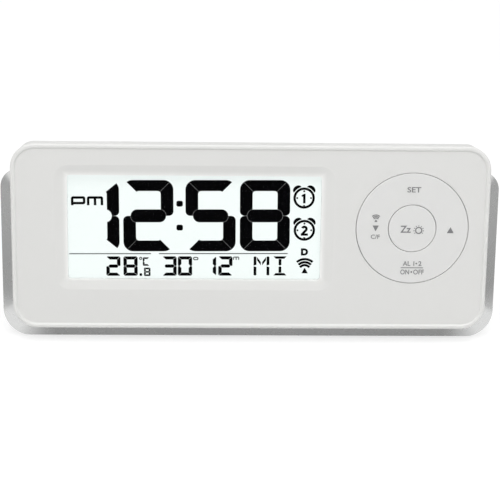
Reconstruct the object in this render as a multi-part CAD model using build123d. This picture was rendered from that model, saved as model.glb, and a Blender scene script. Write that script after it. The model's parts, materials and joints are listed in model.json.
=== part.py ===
from build123d import *
import os
from math import cos, pi, radians, sin, tan

# A radio-controlled bedside alarm clock, in millimetres and degrees.
# Face frame: X to the right, Y up the face, Z out of the face, with the origin in the
# middle of the lip's front plane. Every piece is made there, then the whole clock is
# leaned back and stood on its feet.

# Stance
LEAN = 8.0  # lean of the face back from upright

# White front shell
FACE_R = 7.4
SHELL_WALL = 2.0
SHELL_DRAFT = 5.5
CORNER_TIGHTEN = 0.12  # fall of the corner radius with depth, beyond the draft's own
LIP_W = 1.1
LIP_H = 0.4
LIP_SLOPE = 0.5  # run of the slope from the lip down to the face
EDGE_ROUND = 0.6

# Display window and the bevel round it
WINDOW_LEFT = 16.7  # face to the left of the window
WINDOW_DROP = 0.4  # window's middle below the keys' middle
WINDOW_W = 75.8
WINDOW_H = 31.8
WINDOW_R = 0.8
BEVEL_X = 3.7
BEVEL_Y = 3.1
BEVEL_R = 4.2
BEVEL_DEPTH = 0.6

# Display stack, front to back
LENS_T = 0.8
LENS_SINK = 0.15
LENS_FIT = 0.1
POLARISER_T = 0.2
GLASS_T = 0.7
GUIDE_T = 2.5
REFLECTOR_T = 0.2
STACK_MARGIN = 2.0
STACK_FIT = 0.2
LEDGE_H = 3.0
HOLDER_WALL = 1.5
HOLDER_BACK = 1.9
ZEBRA_W = 2.0
ZEBRA_SHORT = 3.0  # zebra strip's ends inside the glass's ends
LED_W = 3.0
LED_T = 2.0
LED_L = 2.4
LED_SPREAD = 16.0
LED_LEG = 0.5

# Main board and its screws
BOARD_T = 1.6
BOARD_INSET_X = 5.0
BOARD_INSET_Y = 6.0
BOARD_BACK_ROOM = 0.3  # behind the board's screw heads
BOARD_BOLT_ROOM = 3.0  # side bosses lie midway from here to the display's holder
BOARD_BOLT_HIGH = 14.0
BOARD_BOLT_LOW = -8.0
BOARD_BOSS_R = 2.4
BOARD_SCREW_R = 1.0
BOARD_SCREW_BITE = 3.0
SCREW_FIT = 0.05
HOLE_FIT = 0.2
BOARD_HEAD_R = 1.9
BOARD_HEAD_T = 1.3

# Keys
KEY_LEFT = 10.4  # face between the window and the key hole
KEY_RIGHT = 6.1  # face round the key hole
KEY_ABOVE = 8.0
KEY_BELOW = 14.4
KEY_PROUD = 0.1
RING_GAP = 0.17
RING_T = 1.6
RING_SKIRT = 1.1
RING_SKIRT_WALL = 1.0
BUTTON_R = 7.13
BUTTON_GAP = 0.15
BUTTON_T = 1.8
BUTTON_SKIRT_WALL = 1.0
BUTTON_TRAVEL = 0.8
BUTTON_FLANGE = 0.8
BUTTON_FLANGE_T = 0.6
BUTTON_FLANGE_GAP = 0.5
GUIDE_FIT = 0.1
GUIDE_WALL = 1.4
GUIDE_ROOM = 0.52  # between the stem's guide and the button's skirt
KEY_EDGE = 0.16

# Rocker gimbal under the ring key
PIN_R = 0.8
PIN_FIT = 0.05
PIN_L = 2.1
BEARING_WALL = 0.75
BEARING_W = 1.8
BEARING_GAP = 0.4
PIVOT_RISE = 2.2  # pivot plane above the carrier plate
GIMBAL_T = 1.4
GIMBAL_W = 1.6
GIMBAL_GAP = 1.1  # between the button's flange and the gimbal
POST_R = 1.3
POST_SIDE = 0.78  # between the bearings and the posts
POST_INSET = 1.92  # post's axis inside the ring's rim
POST_ROOM = 0.5

# Key carrier and rubber mat
CARRIER_T = 1.0
CARRIER_GAP = 0.4
CARRIER_BOLT_GAP = 3.5  # bolt circle outside the key hole
CARRIER_EAR_R = 3.0
STANDOFF_R = 2.0
MAT_T = 0.8
MAT_MARGIN = 0.5
DOME_R = 3.0
DOME_TOP_R = 2.2
DOME_H = 1.0
POST_GAP = 0.05
PILL_R = 1.4
PILL_T = 0.4

# Silver rear shell
RIM_SIDE = 3.6
RIM_DROP = 4.0
RIM_TOP_DROP = 8.6
RIM_R = 8.7
RIM_TOP_R = 5.5
RIM_DEPTH = 6.0
RIM_EDGE = 0.4
FLARE_DEPTH = 2.2
FLARE_LAND = 0.25
REAR_DRAFT = 4.0
REAR_WALL = 2.0
REAR_ROUND = 3.0
SIDE_WALL = 4.6
FLOOR_WALL = 2.4
CAVITY_R = 4.0
BACK_SLOPE = 16.3
SHELF_W = 4.0
SHELF_T = 3.0
SHELF_INSET = 0.6
SHELL_FIT = 0.1
TONGUE_T = 1.0
TONGUE_H = 1.5
TONGUE_FIT = 0.15
BASE_TRIM = 0.3  # rim's lowest edge cut flat by this much

# Case screws
CASE_SIDE_GAP = 0.9  # between their bosses and the display's holder
CASE_RISE = 5.6  # above the key carrier's upper ears
CASE_DROP = 7.7  # below its lower ears
CASE_BOSS_R = 2.6
CASE_SCREW_R = 1.3
CASE_SCREW_L = 8.0
CASE_HEAD_R = 2.4
CASE_HEAD_T = 1.6
CASE_HEAD_ROOM = 0.3
CASE_SEAT_T = 1.4
CASE_TUBE_WALL = 1.3
DRIVE_W = 0.6
DRIVE_DEPTH = 0.8

# Rubber feet
FOOT_R = 4.0
FOOT_T = 1.5
FOOT_SINK = 0.7
FOOT_EDGE = 0.3
FOOT_INSET = 16.0
FOOT_FRONT = 6.5
FOOT_BACK_INSET = 7.3

# Battery bay, on the back wall
BAY_BASE = 4.3  # door's lower edge above the back wall's foot
BAY_WALL = 1.4
BAY_FIT = 0.5
CELL_D = 10.5
CELL_L = 44.5
CELL_GAP = 1.0
CELL_SEAT = 0.1
CELL_EDGE = 0.5
NUB_D = 3.8
NUB_L = 0.8
CONTACT_T = 0.3
CONTACT_W = 9.0
TAIL_W = 2.0
TAIL_FIT = 0.1
TAIL_REACH = 1.6
SPRING_L = 4.9
SPRING_R = 3.4
SPRING_WIRE = 0.5
SPRING_TURNS = 4

# Battery door
DOOR_T = 1.8
DOOR_SEAT = 0.05
DOOR_GAP = 0.25
HINGE_R = 1.2
HINGE_PIN_L = 1.6
CHEEK_WALL = 1.2
LATCH_W = 14.0
LATCH_H = 8.0
LATCH_SLOT = 0.8
LATCH_NUB = 0.2
GRIP_COUNT = 3
GRIP_PITCH = 1.8
GRIP_H = 0.4
GRIP_W = 0.8

# Radio receiver
ROD_R = 3.0
ROD_L = 48.0
ROD_INSET = 7.5  # rod's left end inside the face's side
ROD_DROP = 8.1  # rod's axis below the rear shell's top
ROD_ROOM = 1.2  # between the board and the coil
COIL_R = 4.0
COIL_L = 14.0
COIL_INSET = 4.0
COIL_FIT = 0.05
RIB_T = 2.0
RIB_ARM = 1.5
RIB_INSET = 4.0
RIB_COIL_GAP = 6.0  # from the inner rib to the coil
RECEIVER_W = 16.0
RECEIVER_H = 10.0
RECEIVER_T = 1.0
RECEIVER_GAP = 6.0  # from the rod's end
RECEIVER_CHIP_R = 2.6
RECEIVER_CHIP_T = 0.8
ANTENNA_LEAD_R = 0.25
ANTENNA_LEAD_STEP = 5.0

# Buzzer, on the back wall
BUZZER_GAP = 5.25  # from the battery bay's cheek
BUZZER_RISE = 29.0
BUZZER_R = 10.0
BUZZER_T = 4.5
BUZZER_WALL = 0.7
BUZZER_STEP = 0.5
BUZZER_FIT = 0.1
BUZZER_SEAT_WALL = 1.2
BUZZER_SEAT_H = 3.0
DISC_T = 0.4
DISC_DEPTH = 0.6
SOUND_HOLE_R = 0.8
SOUND_RINGS = ((0.0, 1), (3.4, 6), (6.6, 12))  # circle radius and number of holes
BUZZER_LEAD_R = 0.4
BUZZER_LEAD_SPREAD = 4.0

# Parts on the board's rear
CHIP_GAP = 12.0  # from the receiver board
CHIP_RISE = 5.8  # above the keys' middle
CHIP_R = 6.0
CHIP_T = 1.2
CRYSTAL_LEFT = 12.0  # from the chip's middle
CRYSTAL_DROP = 11.0
CRYSTAL_R = 1.0
CRYSTAL_L = 6.0
CAPACITOR_R = 2.5
CAPACITOR_H = 5.0
CAPACITOR_PLACES = ((-7.4, 6.7), (0.6, 6.2))  # from the keys' middle and the board's lower edge
THERMISTOR_INSET = 25.5  # from the face's side
THERMISTOR_RISE = 26.2  # above the rear shell's rim
THERMISTOR_R = 1.2
THERMISTOR_REACH = 6.0
THERMISTOR_LEG_R = 0.3
THERMISTOR_SPREAD = 1.2
VENT_COUNT = 5
VENT_PITCH = 3.0
VENT_W = 1.2
VENT_H = 10.0
BATTERY_LEAD_R = 0.5
BATTERY_LEAD_ROOM = 3.1  # between the upper contact's tail and the board
BATTERY_LEAD_OUT = 10.0
BATTERY_LEAD_BEND = 0.4  # bend radius as a share of the room over the board

# Depths worked out from the stack, all along Z
FACE_Z = -LIP_H
INNER_Z = FACE_Z - SHELL_WALL
LENS_BACK = INNER_Z - LENS_T
FRONT_GLASS_FRONT = LENS_BACK - POLARISER_T
FRONT_GLASS_BACK = FRONT_GLASS_FRONT - GLASS_T
REAR_GLASS_BACK = FRONT_GLASS_BACK - GLASS_T
GUIDE_FRONT = REAR_GLASS_BACK - POLARISER_T
GUIDE_BACK = GUIDE_FRONT - GUIDE_T
REFLECTOR_BACK = GUIDE_BACK - REFLECTOR_T
BOARD_FRONT = REFLECTOR_BACK - HOLDER_BACK
BOARD_BACK = BOARD_FRONT - BOARD_T
SHELL_BACK = BOARD_BACK - BOARD_HEAD_T - BOARD_BACK_ROOM
SHELF_BACK = SHELL_BACK - SHELF_T
CASE_SEAT_Z = SHELL_BACK - CASE_SEAT_T

# Key heights, along Z
KEY_FRONT = FACE_Z + KEY_PROUD
RING_UNDER = KEY_FRONT - RING_T
RING_SKIRT_END = RING_UNDER - RING_SKIRT
MAT_FRONT = BOARD_FRONT + MAT_T
DOME_FRONT = MAT_FRONT + DOME_H
POST_END = DOME_FRONT + POST_GAP
CARRIER_BACK = DOME_FRONT + CARRIER_GAP
CARRIER_FRONT = CARRIER_BACK + CARRIER_T
PIVOT_Z = CARRIER_FRONT + PIVOT_RISE
FLANGE_FRONT = RING_SKIRT_END - BUTTON_FLANGE_GAP
FLANGE_BACK = FLANGE_FRONT - BUTTON_FLANGE_T
BUTTON_UNDER = KEY_FRONT - BUTTON_T
GUIDE_TOP = BUTTON_UNDER - BUTTON_TRAVEL - BUTTON_GAP

# Key radii, from the button out to the carrier's screws
STEM_R = BUTTON_R - BUTTON_SKIRT_WALL - GUIDE_ROOM - GUIDE_WALL - GUIDE_FIT
RING_BORE_R = BUTTON_R + BUTTON_GAP
FLANGE_R = BUTTON_R + BUTTON_FLANGE
GIMBAL_IN_R = FLANGE_R + GIMBAL_GAP
GIMBAL_OUT_R = GIMBAL_IN_R + GIMBAL_W
BEARING_R = PIN_R + PIN_FIT + BEARING_WALL
BEARING_IN_R = GIMBAL_OUT_R + BEARING_GAP
BEARING_OUT_R = BEARING_IN_R + BEARING_W
POST_CIRCLE_R = BEARING_OUT_R + POST_SIDE + POST_R
RING_R = POST_CIRCLE_R + POST_INSET
KEY_HOLE_R = RING_R + RING_GAP
MAT_R = KEY_HOLE_R + MAT_MARGIN
BOLT_CIRCLE_R = KEY_HOLE_R + CARRIER_BOLT_GAP
BOLT_REACH = BOLT_CIRCLE_R * cos(pi / 4)
CARRIER_R = BOLT_CIRCLE_R - STANDOFF_R

# Face, as large as the window, the keys and what is left round them
FACE_W = WINDOW_LEFT + WINDOW_W + KEY_LEFT + 2 * KEY_HOLE_R + KEY_RIGHT
FACE_H = KEY_ABOVE + 2 * KEY_HOLE_R + KEY_BELOW
KEY_X = FACE_W / 2 - KEY_RIGHT - KEY_HOLE_R
KEY_Y = FACE_H / 2 - KEY_ABOVE - KEY_HOLE_R
WINDOW_X = WINDOW_LEFT + WINDOW_W / 2 - FACE_W / 2
WINDOW_Y = KEY_Y - WINDOW_DROP

# Display outline
STACK_W = WINDOW_W + 2 * STACK_MARGIN
STACK_H = WINDOW_H + 2 * STACK_MARGIN
STACK_BOTTOM = WINDOW_Y - STACK_H / 2
ZEBRA_Y = STACK_BOTTOM - LEDGE_H / 2
HOLDER_INSET = WINDOW_LEFT - STACK_MARGIN - STACK_FIT - HOLDER_WALL

# Board outline, and how far the screws at its sides lie inside the face's sides
BOARD_W = FACE_W - 2 * BOARD_INSET_X
BOARD_H = FACE_H - 2 * BOARD_INSET_Y
BOARD_BOLT_INSET = (BOARD_BOLT_ROOM + HOLDER_INSET) / 2
CASE_INSET_X = HOLDER_INSET - CASE_SIDE_GAP - CASE_BOSS_R

# Battery bay and door, in the back wall's plane
CELL_R = CELL_D / 2
BAY_L = CELL_L + SPRING_L + 2 * CONTACT_T
BAY_H = 2 * CELL_D + CELL_GAP + 2 * BAY_FIT
CELL_Y = (CELL_D + CELL_GAP) / 2
CELL_Z = -DOOR_T - BAY_FIT - CELL_R
BAY_FLOOR = CELL_Z - CELL_R - CELL_SEAT
DOOR_W = BAY_L + 2 * BAY_WALL
DOOR_H = BAY_H + 2 * BAY_WALL
BAY_RISE = BAY_BASE + DOOR_H / 2
HINGE_Y = -DOOR_H / 2 + HINGE_R
CHEEK_W = DOOR_GAP + HINGE_PIN_L + CHEEK_WALL
TAIL_END = BAY_FLOOR - BAY_WALL - TAIL_REACH

# Rear shell, as deep as the battery bay and the leads in front of it
TAIL_RISE = (BAY_RISE + CELL_Y) * sin(radians(BACK_SLOPE))
REAR_DEPTH = BATTERY_LEAD_ROOM - BOARD_BACK + TAIL_RISE - TAIL_END * cos(radians(BACK_SLOPE))
RIM_W = FACE_W + 2 * RIM_SIDE
RIM_BOTTOM = -FACE_H / 2 - RIM_DROP
RIM_TOP = FACE_H / 2 - RIM_TOP_DROP
BASE_RISE = (REAR_DEPTH - RIM_DEPTH) * tan(radians(LEAN))
FOOT_BACK = (REAR_DEPTH - RIM_DEPTH) / cos(radians(LEAN)) - FOOT_BACK_INSET

# Buzzer, antenna and the parts on the board, each placed from its neighbour
BUZZER_SEAT_R = BUZZER_R + BUZZER_FIT
BUZZER_X = DOOR_W / 2 + CHEEK_W + BUZZER_GAP + BUZZER_SEAT_R + BUZZER_SEAT_WALL
ROD_X = ROD_INSET + ROD_L / 2 - FACE_W / 2
ROD_Y = RIM_TOP - ROD_DROP
ROD_Z = BOARD_BACK - ROD_ROOM - COIL_R
RECEIVER_X = ROD_X + ROD_L / 2 + RECEIVER_GAP + RECEIVER_W / 2
CHIP_X = RECEIVER_X + RECEIVER_W / 2 + CHIP_GAP + CHIP_R
CHIP_Y = KEY_Y + CHIP_RISE
CRYSTAL_X = CHIP_X - CRYSTAL_LEFT
CRYSTAL_Y = CHIP_Y - CRYSTAL_DROP
THERMISTOR_X = THERMISTOR_INSET - FACE_W / 2
THERMISTOR_Y = RIM_BOTTOM + THERMISTOR_RISE

# Planes: the ground under the rear shell (Z up, Y to the rear) and the outside of the
# back wall (Z outwards, Y up the wall, X to the left of the face)
UP = Vector(0, cos(radians(LEAN)), sin(radians(LEAN)))
GROUND = Plane(origin=Vector(0, RIM_BOTTOM, -RIM_DEPTH) + UP * BASE_TRIM, x_dir=(1, 0, 0), z_dir=UP)
BACK = Plane(
    origin=(0, RIM_BOTTOM + BASE_RISE, -REAR_DEPTH),
    x_dir=(-1, 0, 0),
    z_dir=(0, sin(radians(BACK_SLOPE)), -cos(radians(BACK_SLOPE))),
)
BAY = BACK * Pos(0, BAY_RISE, 0)
BUZZER = BACK * Pos(-BUZZER_X, BUZZER_RISE, 0)

BIG = 400.0  # larger than the clock, for half-space cuts

CASE_PLACES = [
    (side * (FACE_W / 2 - CASE_INSET_X), y)
    for side in (-1, 1)
    for y in (KEY_Y + BOLT_REACH + CASE_RISE, KEY_Y - BOLT_REACH - CASE_DROP)
]
CARRIER_PLACES = [
    (KEY_X + x * BOLT_REACH, KEY_Y + y * BOLT_REACH) for x, y in ((1, 1), (-1, 1), (-1, -1), (1, -1))
]
SIDE_PLACES = [(-FACE_W / 2 + BOARD_BOLT_INSET, y) for y in (BOARD_BOLT_HIGH, BOARD_BOLT_LOW)]
POST_TURNS = (0, 90, 180, 270)


def inset(depth):
    """How far the drafted outside of the front shell has come in at a depth below the lip."""
    return -depth * tan(radians(SHELL_DRAFT))


def slab(outline, front, back):
    """A flat outline carried from a front height down to a back height."""
    return extrude(Pos(0, 0, back) * outline, amount=front - back)


def panel(width, height, radius, front, back, x=0, y=0):
    """A rounded rectangular plate between two heights."""
    return slab(Pos(x, y) * RectangleRounded(width, height, radius), front, back)


def block(width, height, front, back, x=0, y=0):
    """A square-cornered block between two heights."""
    return slab(Pos(x, y) * Rectangle(width, height), front, back)


def drum(radius, front, back, x=0, y=0):
    """A round bar along Z between two heights."""
    return slab(Pos(x, y) * Circle(radius), front, back)


def tube(outer, inner, front, back, x=0, y=0):
    """A round tube along Z between two heights."""
    return slab(Pos(x, y) * (Circle(outer) - Circle(inner)), front, back)


def bar_x(radius, start, end, y, z):
    """A round bar along X."""
    return Plane((start, y, z), z_dir=(1, 0, 0)) * extrude(Circle(radius), amount=end - start)


def spoke(radius, start, end, turn, z):
    """A round bar pointing away from the key's centre."""
    return Pos(KEY_X, KEY_Y, 0) * Rot(0, 0, turn) * bar_x(radius, start, end, 0, z)


def wire(points, radius, bend):
    """A round wire along straight runs joined by arcs."""
    path = FilletPolyline(*points, radius=bend)
    return sweep(Plane(path @ 0, z_dir=path % 0) * Circle(radius), path=path)


def face_outline(depth, grow):
    """Outline of the front shell's outside at a depth, grown by a clearance."""
    shrink = inset(depth) - grow
    corner = FACE_R - shrink + CORNER_TIGHTEN * depth
    return Pos(0, 0, depth) * RectangleRounded(FACE_W - 2 * shrink, FACE_H - 2 * shrink, corner)


def face_solid(grow, front, back):
    """The drafted outside of the front shell, grown by a clearance."""
    return loft([face_outline(front, grow), face_outline(back, grow)], ruled=True)


def front_shell():
    """White front: drafted tray with a raised lip, a bevelled window and the key hole."""
    body = face_solid(0, 0, SHELL_BACK)
    outer_edges = body.faces().sort_by(Axis.Z)[-1].edges()
    body = fillet(outer_edges, EDGE_ROUND)
    body -= face_solid(-SHELL_WALL, INNER_Z, SHELL_BACK - SHELL_WALL)
    lip_top = RectangleRounded(FACE_W - 2 * LIP_W, FACE_H - 2 * LIP_W, FACE_R - LIP_W)
    foot = LIP_W + LIP_SLOPE
    lip_foot = RectangleRounded(FACE_W - 2 * foot, FACE_H - 2 * foot, FACE_R - foot)
    body -= loft([lip_top, Pos(0, 0, FACE_Z) * lip_foot], ruled=True)
    bevel_outer = RectangleRounded(WINDOW_W + 2 * BEVEL_X, WINDOW_H + 2 * BEVEL_Y, BEVEL_R)
    window = RectangleRounded(WINDOW_W, WINDOW_H, WINDOW_R)
    centre = Pos(WINDOW_X, WINDOW_Y, FACE_Z)
    body -= loft([centre * bevel_outer, centre * Pos(0, 0, -BEVEL_DEPTH) * window], ruled=True)
    body -= slab(Pos(WINDOW_X, WINDOW_Y) * window, FACE_Z, INNER_Z)
    body -= drum(KEY_HOLE_R, FACE_Z, INNER_Z, KEY_X, KEY_Y)
    room = face_solid(0, 0, SHELL_BACK)
    for x, y in CASE_PLACES:
        body += drum(CASE_BOSS_R, INNER_Z, SHELL_BACK, x, y) & room
        body -= drum(CASE_SCREW_R + SCREW_FIT, CASE_SEAT_Z + CASE_SCREW_L, SHELL_BACK, x, y)
    for x, y in CARRIER_PLACES:
        body += drum(BOARD_BOSS_R, INNER_Z, CARRIER_FRONT, x, y)
        body -= drum(BOARD_SCREW_R + SCREW_FIT, CARRIER_FRONT + BOARD_SCREW_BITE, CARRIER_FRONT, x, y)
    pilot = BOARD_FRONT + BOARD_SCREW_BITE + CARRIER_FRONT - BOARD_FRONT
    for x, y in SIDE_PLACES:
        body += drum(BOARD_BOSS_R, INNER_Z, BOARD_FRONT, x, y)
        body -= drum(BOARD_SCREW_R + SCREW_FIT, pilot, BOARD_FRONT, x, y)
    return body


def window_lens():
    """Clear cover: a flange behind the front wall and a boss that fills the window."""
    flange = block(STACK_W, STACK_H, INNER_Z, LENS_BACK, WINDOW_X, WINDOW_Y)
    width = WINDOW_W - 2 * LENS_FIT
    height = WINDOW_H - 2 * LENS_FIT
    boss_front = FACE_Z - BEVEL_DEPTH - LENS_SINK
    return flange + panel(width, height, WINDOW_R, boss_front, INNER_Z, WINDOW_X, WINDOW_Y)


def stack_sheet(front, back):
    """One full-size sheet of the display stack."""
    return block(STACK_W, STACK_H, front, back, WINDOW_X, WINDOW_Y)


def lcd_front_glass():
    """Front glass, longer at the bottom so that its contacts are bare at the rear."""
    height = STACK_H + LEDGE_H
    return block(STACK_W, height, FRONT_GLASS_FRONT, FRONT_GLASS_BACK, WINDOW_X, WINDOW_Y - LEDGE_H / 2)


def led_places():
    """Middle of each backlight diode, at the right-hand edge of the light guide."""
    x = WINDOW_X + STACK_W / 2 + STACK_FIT + LED_L / 2
    return [(x, WINDOW_Y + side * LED_SPREAD / 2) for side in (-1, 1)]


def backlight_leds():
    """Two side-firing diodes with legs down to the board."""
    middle = (GUIDE_FRONT + GUIDE_BACK) / 2
    diodes = []
    for x, y in led_places():
        diode = block(LED_L, LED_W, middle + LED_T / 2, middle - LED_T / 2, x, y)
        for side in (-1, 1):
            diode += block(LED_LEG, LED_LEG, middle, BOARD_FRONT, x, y + side * (LED_W - LED_LEG) / 2)
        diodes.append(diode)
    return Compound(diodes)


def display_holder():
    """White frame round the display stack, between the front wall and the board."""
    inner_w = STACK_W + 2 * STACK_FIT
    inner_h = STACK_H + LEDGE_H + 2 * STACK_FIT
    outer_w = inner_w + 2 * HOLDER_WALL
    outer_h = inner_h + 2 * HOLDER_WALL
    middle_y = WINDOW_Y - LEDGE_H / 2
    frame = block(outer_w, outer_h, INNER_Z, BOARD_FRONT, WINDOW_X, middle_y)
    frame -= block(inner_w, inner_h, INNER_Z, REFLECTOR_BACK, WINDOW_X, middle_y)
    zebra_w = STACK_W - 2 * ZEBRA_SHORT + 2 * STACK_FIT
    frame -= block(zebra_w, ZEBRA_W + 2 * STACK_FIT, REFLECTOR_BACK, BOARD_FRONT, WINDOW_X, ZEBRA_Y)
    for x, y in led_places():
        frame -= block(LED_L + 2 * STACK_FIT, LED_W + 2 * STACK_FIT, GUIDE_FRONT, BOARD_FRONT, x, y)
    return frame


def zebra_strip():
    """Striped rubber connector from the glass's ledge to the board."""
    return block(STACK_W - 2 * ZEBRA_SHORT, ZEBRA_W, FRONT_GLASS_BACK, BOARD_FRONT, WINDOW_X, ZEBRA_Y)


def ring_key():
    """Four-way ring with skirts, two bearing lugs and four posts."""
    ring = tube(RING_R, RING_BORE_R, KEY_FRONT, RING_UNDER, KEY_X, KEY_Y)
    ring = fillet(ring.faces().sort_by(Axis.Z)[-1].edges(), KEY_EDGE)
    ring += tube(RING_R, RING_R - RING_SKIRT_WALL, RING_UNDER, RING_SKIRT_END, KEY_X, KEY_Y)
    ring += tube(RING_BORE_R + RING_SKIRT_WALL, RING_BORE_R, RING_UNDER, RING_SKIRT_END, KEY_X, KEY_Y)
    for turn in (90, 270):
        ring += bearing(turn, RING_UNDER, PIVOT_Z)
        ring -= spoke(PIN_R + PIN_FIT, GIMBAL_OUT_R, BEARING_OUT_R, turn, PIVOT_Z)
    for turn in POST_TURNS:
        ring += post(turn)
    return ring


def bearing(turn, root, pivot):
    """A block with a round end that carries one pivot pin."""
    low = min(root, pivot)
    high = max(root, pivot)
    middle = (BEARING_IN_R + BEARING_OUT_R) / 2
    arm = block(BEARING_W, 2 * BEARING_R, high, low, middle, 0)
    arm = Pos(KEY_X, KEY_Y, 0) * Rot(0, 0, turn) * arm
    return arm + spoke(BEARING_R, BEARING_IN_R, BEARING_OUT_R, turn, pivot)


def post(turn):
    """A post on the ring's underside, over one dome."""
    return Pos(KEY_X, KEY_Y, 0) * Rot(0, 0, turn) * drum(POST_R, RING_UNDER, POST_END, POST_CIRCLE_R, 0)


def rocker_gimbal():
    """Ring with two pins for the key and two for the carrier, at right angles."""
    front = PIVOT_Z + GIMBAL_T / 2
    gimbal = tube(GIMBAL_OUT_R, GIMBAL_IN_R, front, front - GIMBAL_T, KEY_X, KEY_Y)
    root = (GIMBAL_IN_R + GIMBAL_OUT_R) / 2
    for turn in POST_TURNS:
        gimbal += spoke(PIN_R, root, GIMBAL_OUT_R + PIN_L, turn, PIVOT_Z) & pin_room()
    return gimbal


def pin_room():
    """Everything outside the gimbal's bore."""
    depth = GIMBAL_T * 2
    return tube(RING_R, GIMBAL_IN_R, PIVOT_Z + depth, PIVOT_Z - depth, KEY_X, KEY_Y)


def centre_button():
    """Round button with a hollow skirt, a flange under the ring and a guided stem."""
    cap = drum(BUTTON_R, KEY_FRONT, BUTTON_UNDER, KEY_X, KEY_Y)
    cap = fillet(cap.faces().sort_by(Axis.Z)[-1].edges(), KEY_EDGE)
    bore = BUTTON_R - BUTTON_SKIRT_WALL
    cap += tube(BUTTON_R, bore, BUTTON_UNDER, FLANGE_BACK, KEY_X, KEY_Y)
    cap += tube(FLANGE_R, bore, FLANGE_FRONT, FLANGE_BACK, KEY_X, KEY_Y)
    return cap + drum(STEM_R, BUTTON_UNDER, POST_END, KEY_X, KEY_Y)


def key_carrier():
    """Plate under the keys: stem guide, gimbal bearings, post holes and four ears."""
    plate = drum(CARRIER_R, CARRIER_FRONT, CARRIER_BACK, KEY_X, KEY_Y)
    for x, y in CARRIER_PLACES:
        plate += drum(CARRIER_EAR_R, CARRIER_FRONT, CARRIER_BACK, x, y)
        plate += drum(STANDOFF_R, CARRIER_BACK, BOARD_FRONT, x, y)
        plate -= drum(BOARD_SCREW_R + HOLE_FIT, CARRIER_FRONT, BOARD_FRONT, x, y)
    guide_r = STEM_R + GUIDE_FIT
    plate += drum(guide_r + GUIDE_WALL, GUIDE_TOP, CARRIER_BACK, KEY_X, KEY_Y)
    plate -= drum(guide_r, GUIDE_TOP, CARRIER_BACK, KEY_X, KEY_Y)
    for turn in (0, 180):
        plate += bearing(turn, CARRIER_BACK, PIVOT_Z)
        plate -= spoke(PIN_R + PIN_FIT, GIMBAL_OUT_R, BEARING_OUT_R, turn, PIVOT_Z)
    for turn in POST_TURNS:
        hole = drum(POST_R + POST_ROOM, CARRIER_FRONT, CARRIER_BACK, POST_CIRCLE_R, 0)
        plate -= Pos(KEY_X, KEY_Y, 0) * Rot(0, 0, turn) * hole
    return plate


def dome_places():
    """Middle of each rubber dome: the button's, then the ring's four."""
    around = [(POST_CIRCLE_R * cos(radians(t)), POST_CIRCLE_R * sin(radians(t))) for t in POST_TURNS]
    return [(KEY_X, KEY_Y)] + [(KEY_X + x, KEY_Y + y) for x, y in around]


def keypad_mat():
    """Rubber sheet on the board with five hollow domes."""
    mat = drum(MAT_R, MAT_FRONT, BOARD_FRONT, KEY_X, KEY_Y)
    for x, y in dome_places():
        mat += Pos(x, y, MAT_FRONT) * extrude(Circle(DOME_R), amount=DOME_H, taper=dome_angle())
        mat -= drum(DOME_TOP_R, MAT_FRONT, BOARD_FRONT, x, y)
    return mat


def dome_angle():
    """Slope of a dome's side, from its foot to its top."""
    return atan_degrees((DOME_R - DOME_TOP_R) / DOME_H)


def atan_degrees(slope):
    """The angle in degrees whose tangent is the slope."""
    return Vector(1, 0, 0).get_angle(Vector(1, slope, 0))


def contact_pills():
    """Carbon pills under the domes."""
    return Compound([drum(PILL_R, MAT_FRONT, MAT_FRONT - PILL_T, x, y) for x, y in dome_places()])


def board_screw_places():
    """Every place where a screw holds the board."""
    return CARRIER_PLACES + SIDE_PLACES


def main_board():
    """Circuit board with screw holes and room for the case bosses."""
    board = block(BOARD_W, BOARD_H, BOARD_FRONT, BOARD_BACK)
    for x, y in board_screw_places():
        board -= drum(BOARD_SCREW_R + HOLE_FIT, BOARD_FRONT, BOARD_BACK, x, y)
    for x, y in CASE_PLACES:
        board -= drum(CASE_BOSS_R + HOLE_FIT, BOARD_FRONT, BOARD_BACK, x, y)
    return board


def screw(shank_r, length, head_r, head_t, seat, x, y):
    """Pan-head screw that points to the front, with a cross drive in its head."""
    body = drum(shank_r, seat + length, seat, x, y) + drum(head_r, seat, seat - head_t, x, y)
    for width, height in ((head_r, DRIVE_W), (DRIVE_W, head_r)):
        body -= block(width, height, seat - head_t + DRIVE_DEPTH, seat - head_t, x, y)
    return body


def board_screws():
    """Screws through the board, into the carrier's bosses and the side bosses."""
    length = CARRIER_FRONT - BOARD_BACK + BOARD_SCREW_BITE
    form = (BOARD_SCREW_R, length, BOARD_HEAD_R, BOARD_HEAD_T, BOARD_BACK)
    return Compound([screw(*form, x, y) for x, y in board_screw_places()])


def case_screws():
    """Four screws that hold the rear shell to the front shell."""
    form = (CASE_SCREW_R, CASE_SCREW_L, CASE_HEAD_R, CASE_HEAD_T, CASE_SEAT_Z)
    return Compound([screw(*form, x, y) for x, y in CASE_PLACES])


def rim_outline(side, bottom, top, bottom_r, top_r):
    """Rounded outline of the rear shell, with its own corner radii above and below."""
    sheet = Pos(0, (bottom + top) / 2) * Rectangle(2 * side, top - bottom)
    sheet = fillet(sheet.vertices().group_by(Axis.Y)[0], bottom_r)
    return fillet(sheet.vertices().group_by(Axis.Y)[-1], top_r)


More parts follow.
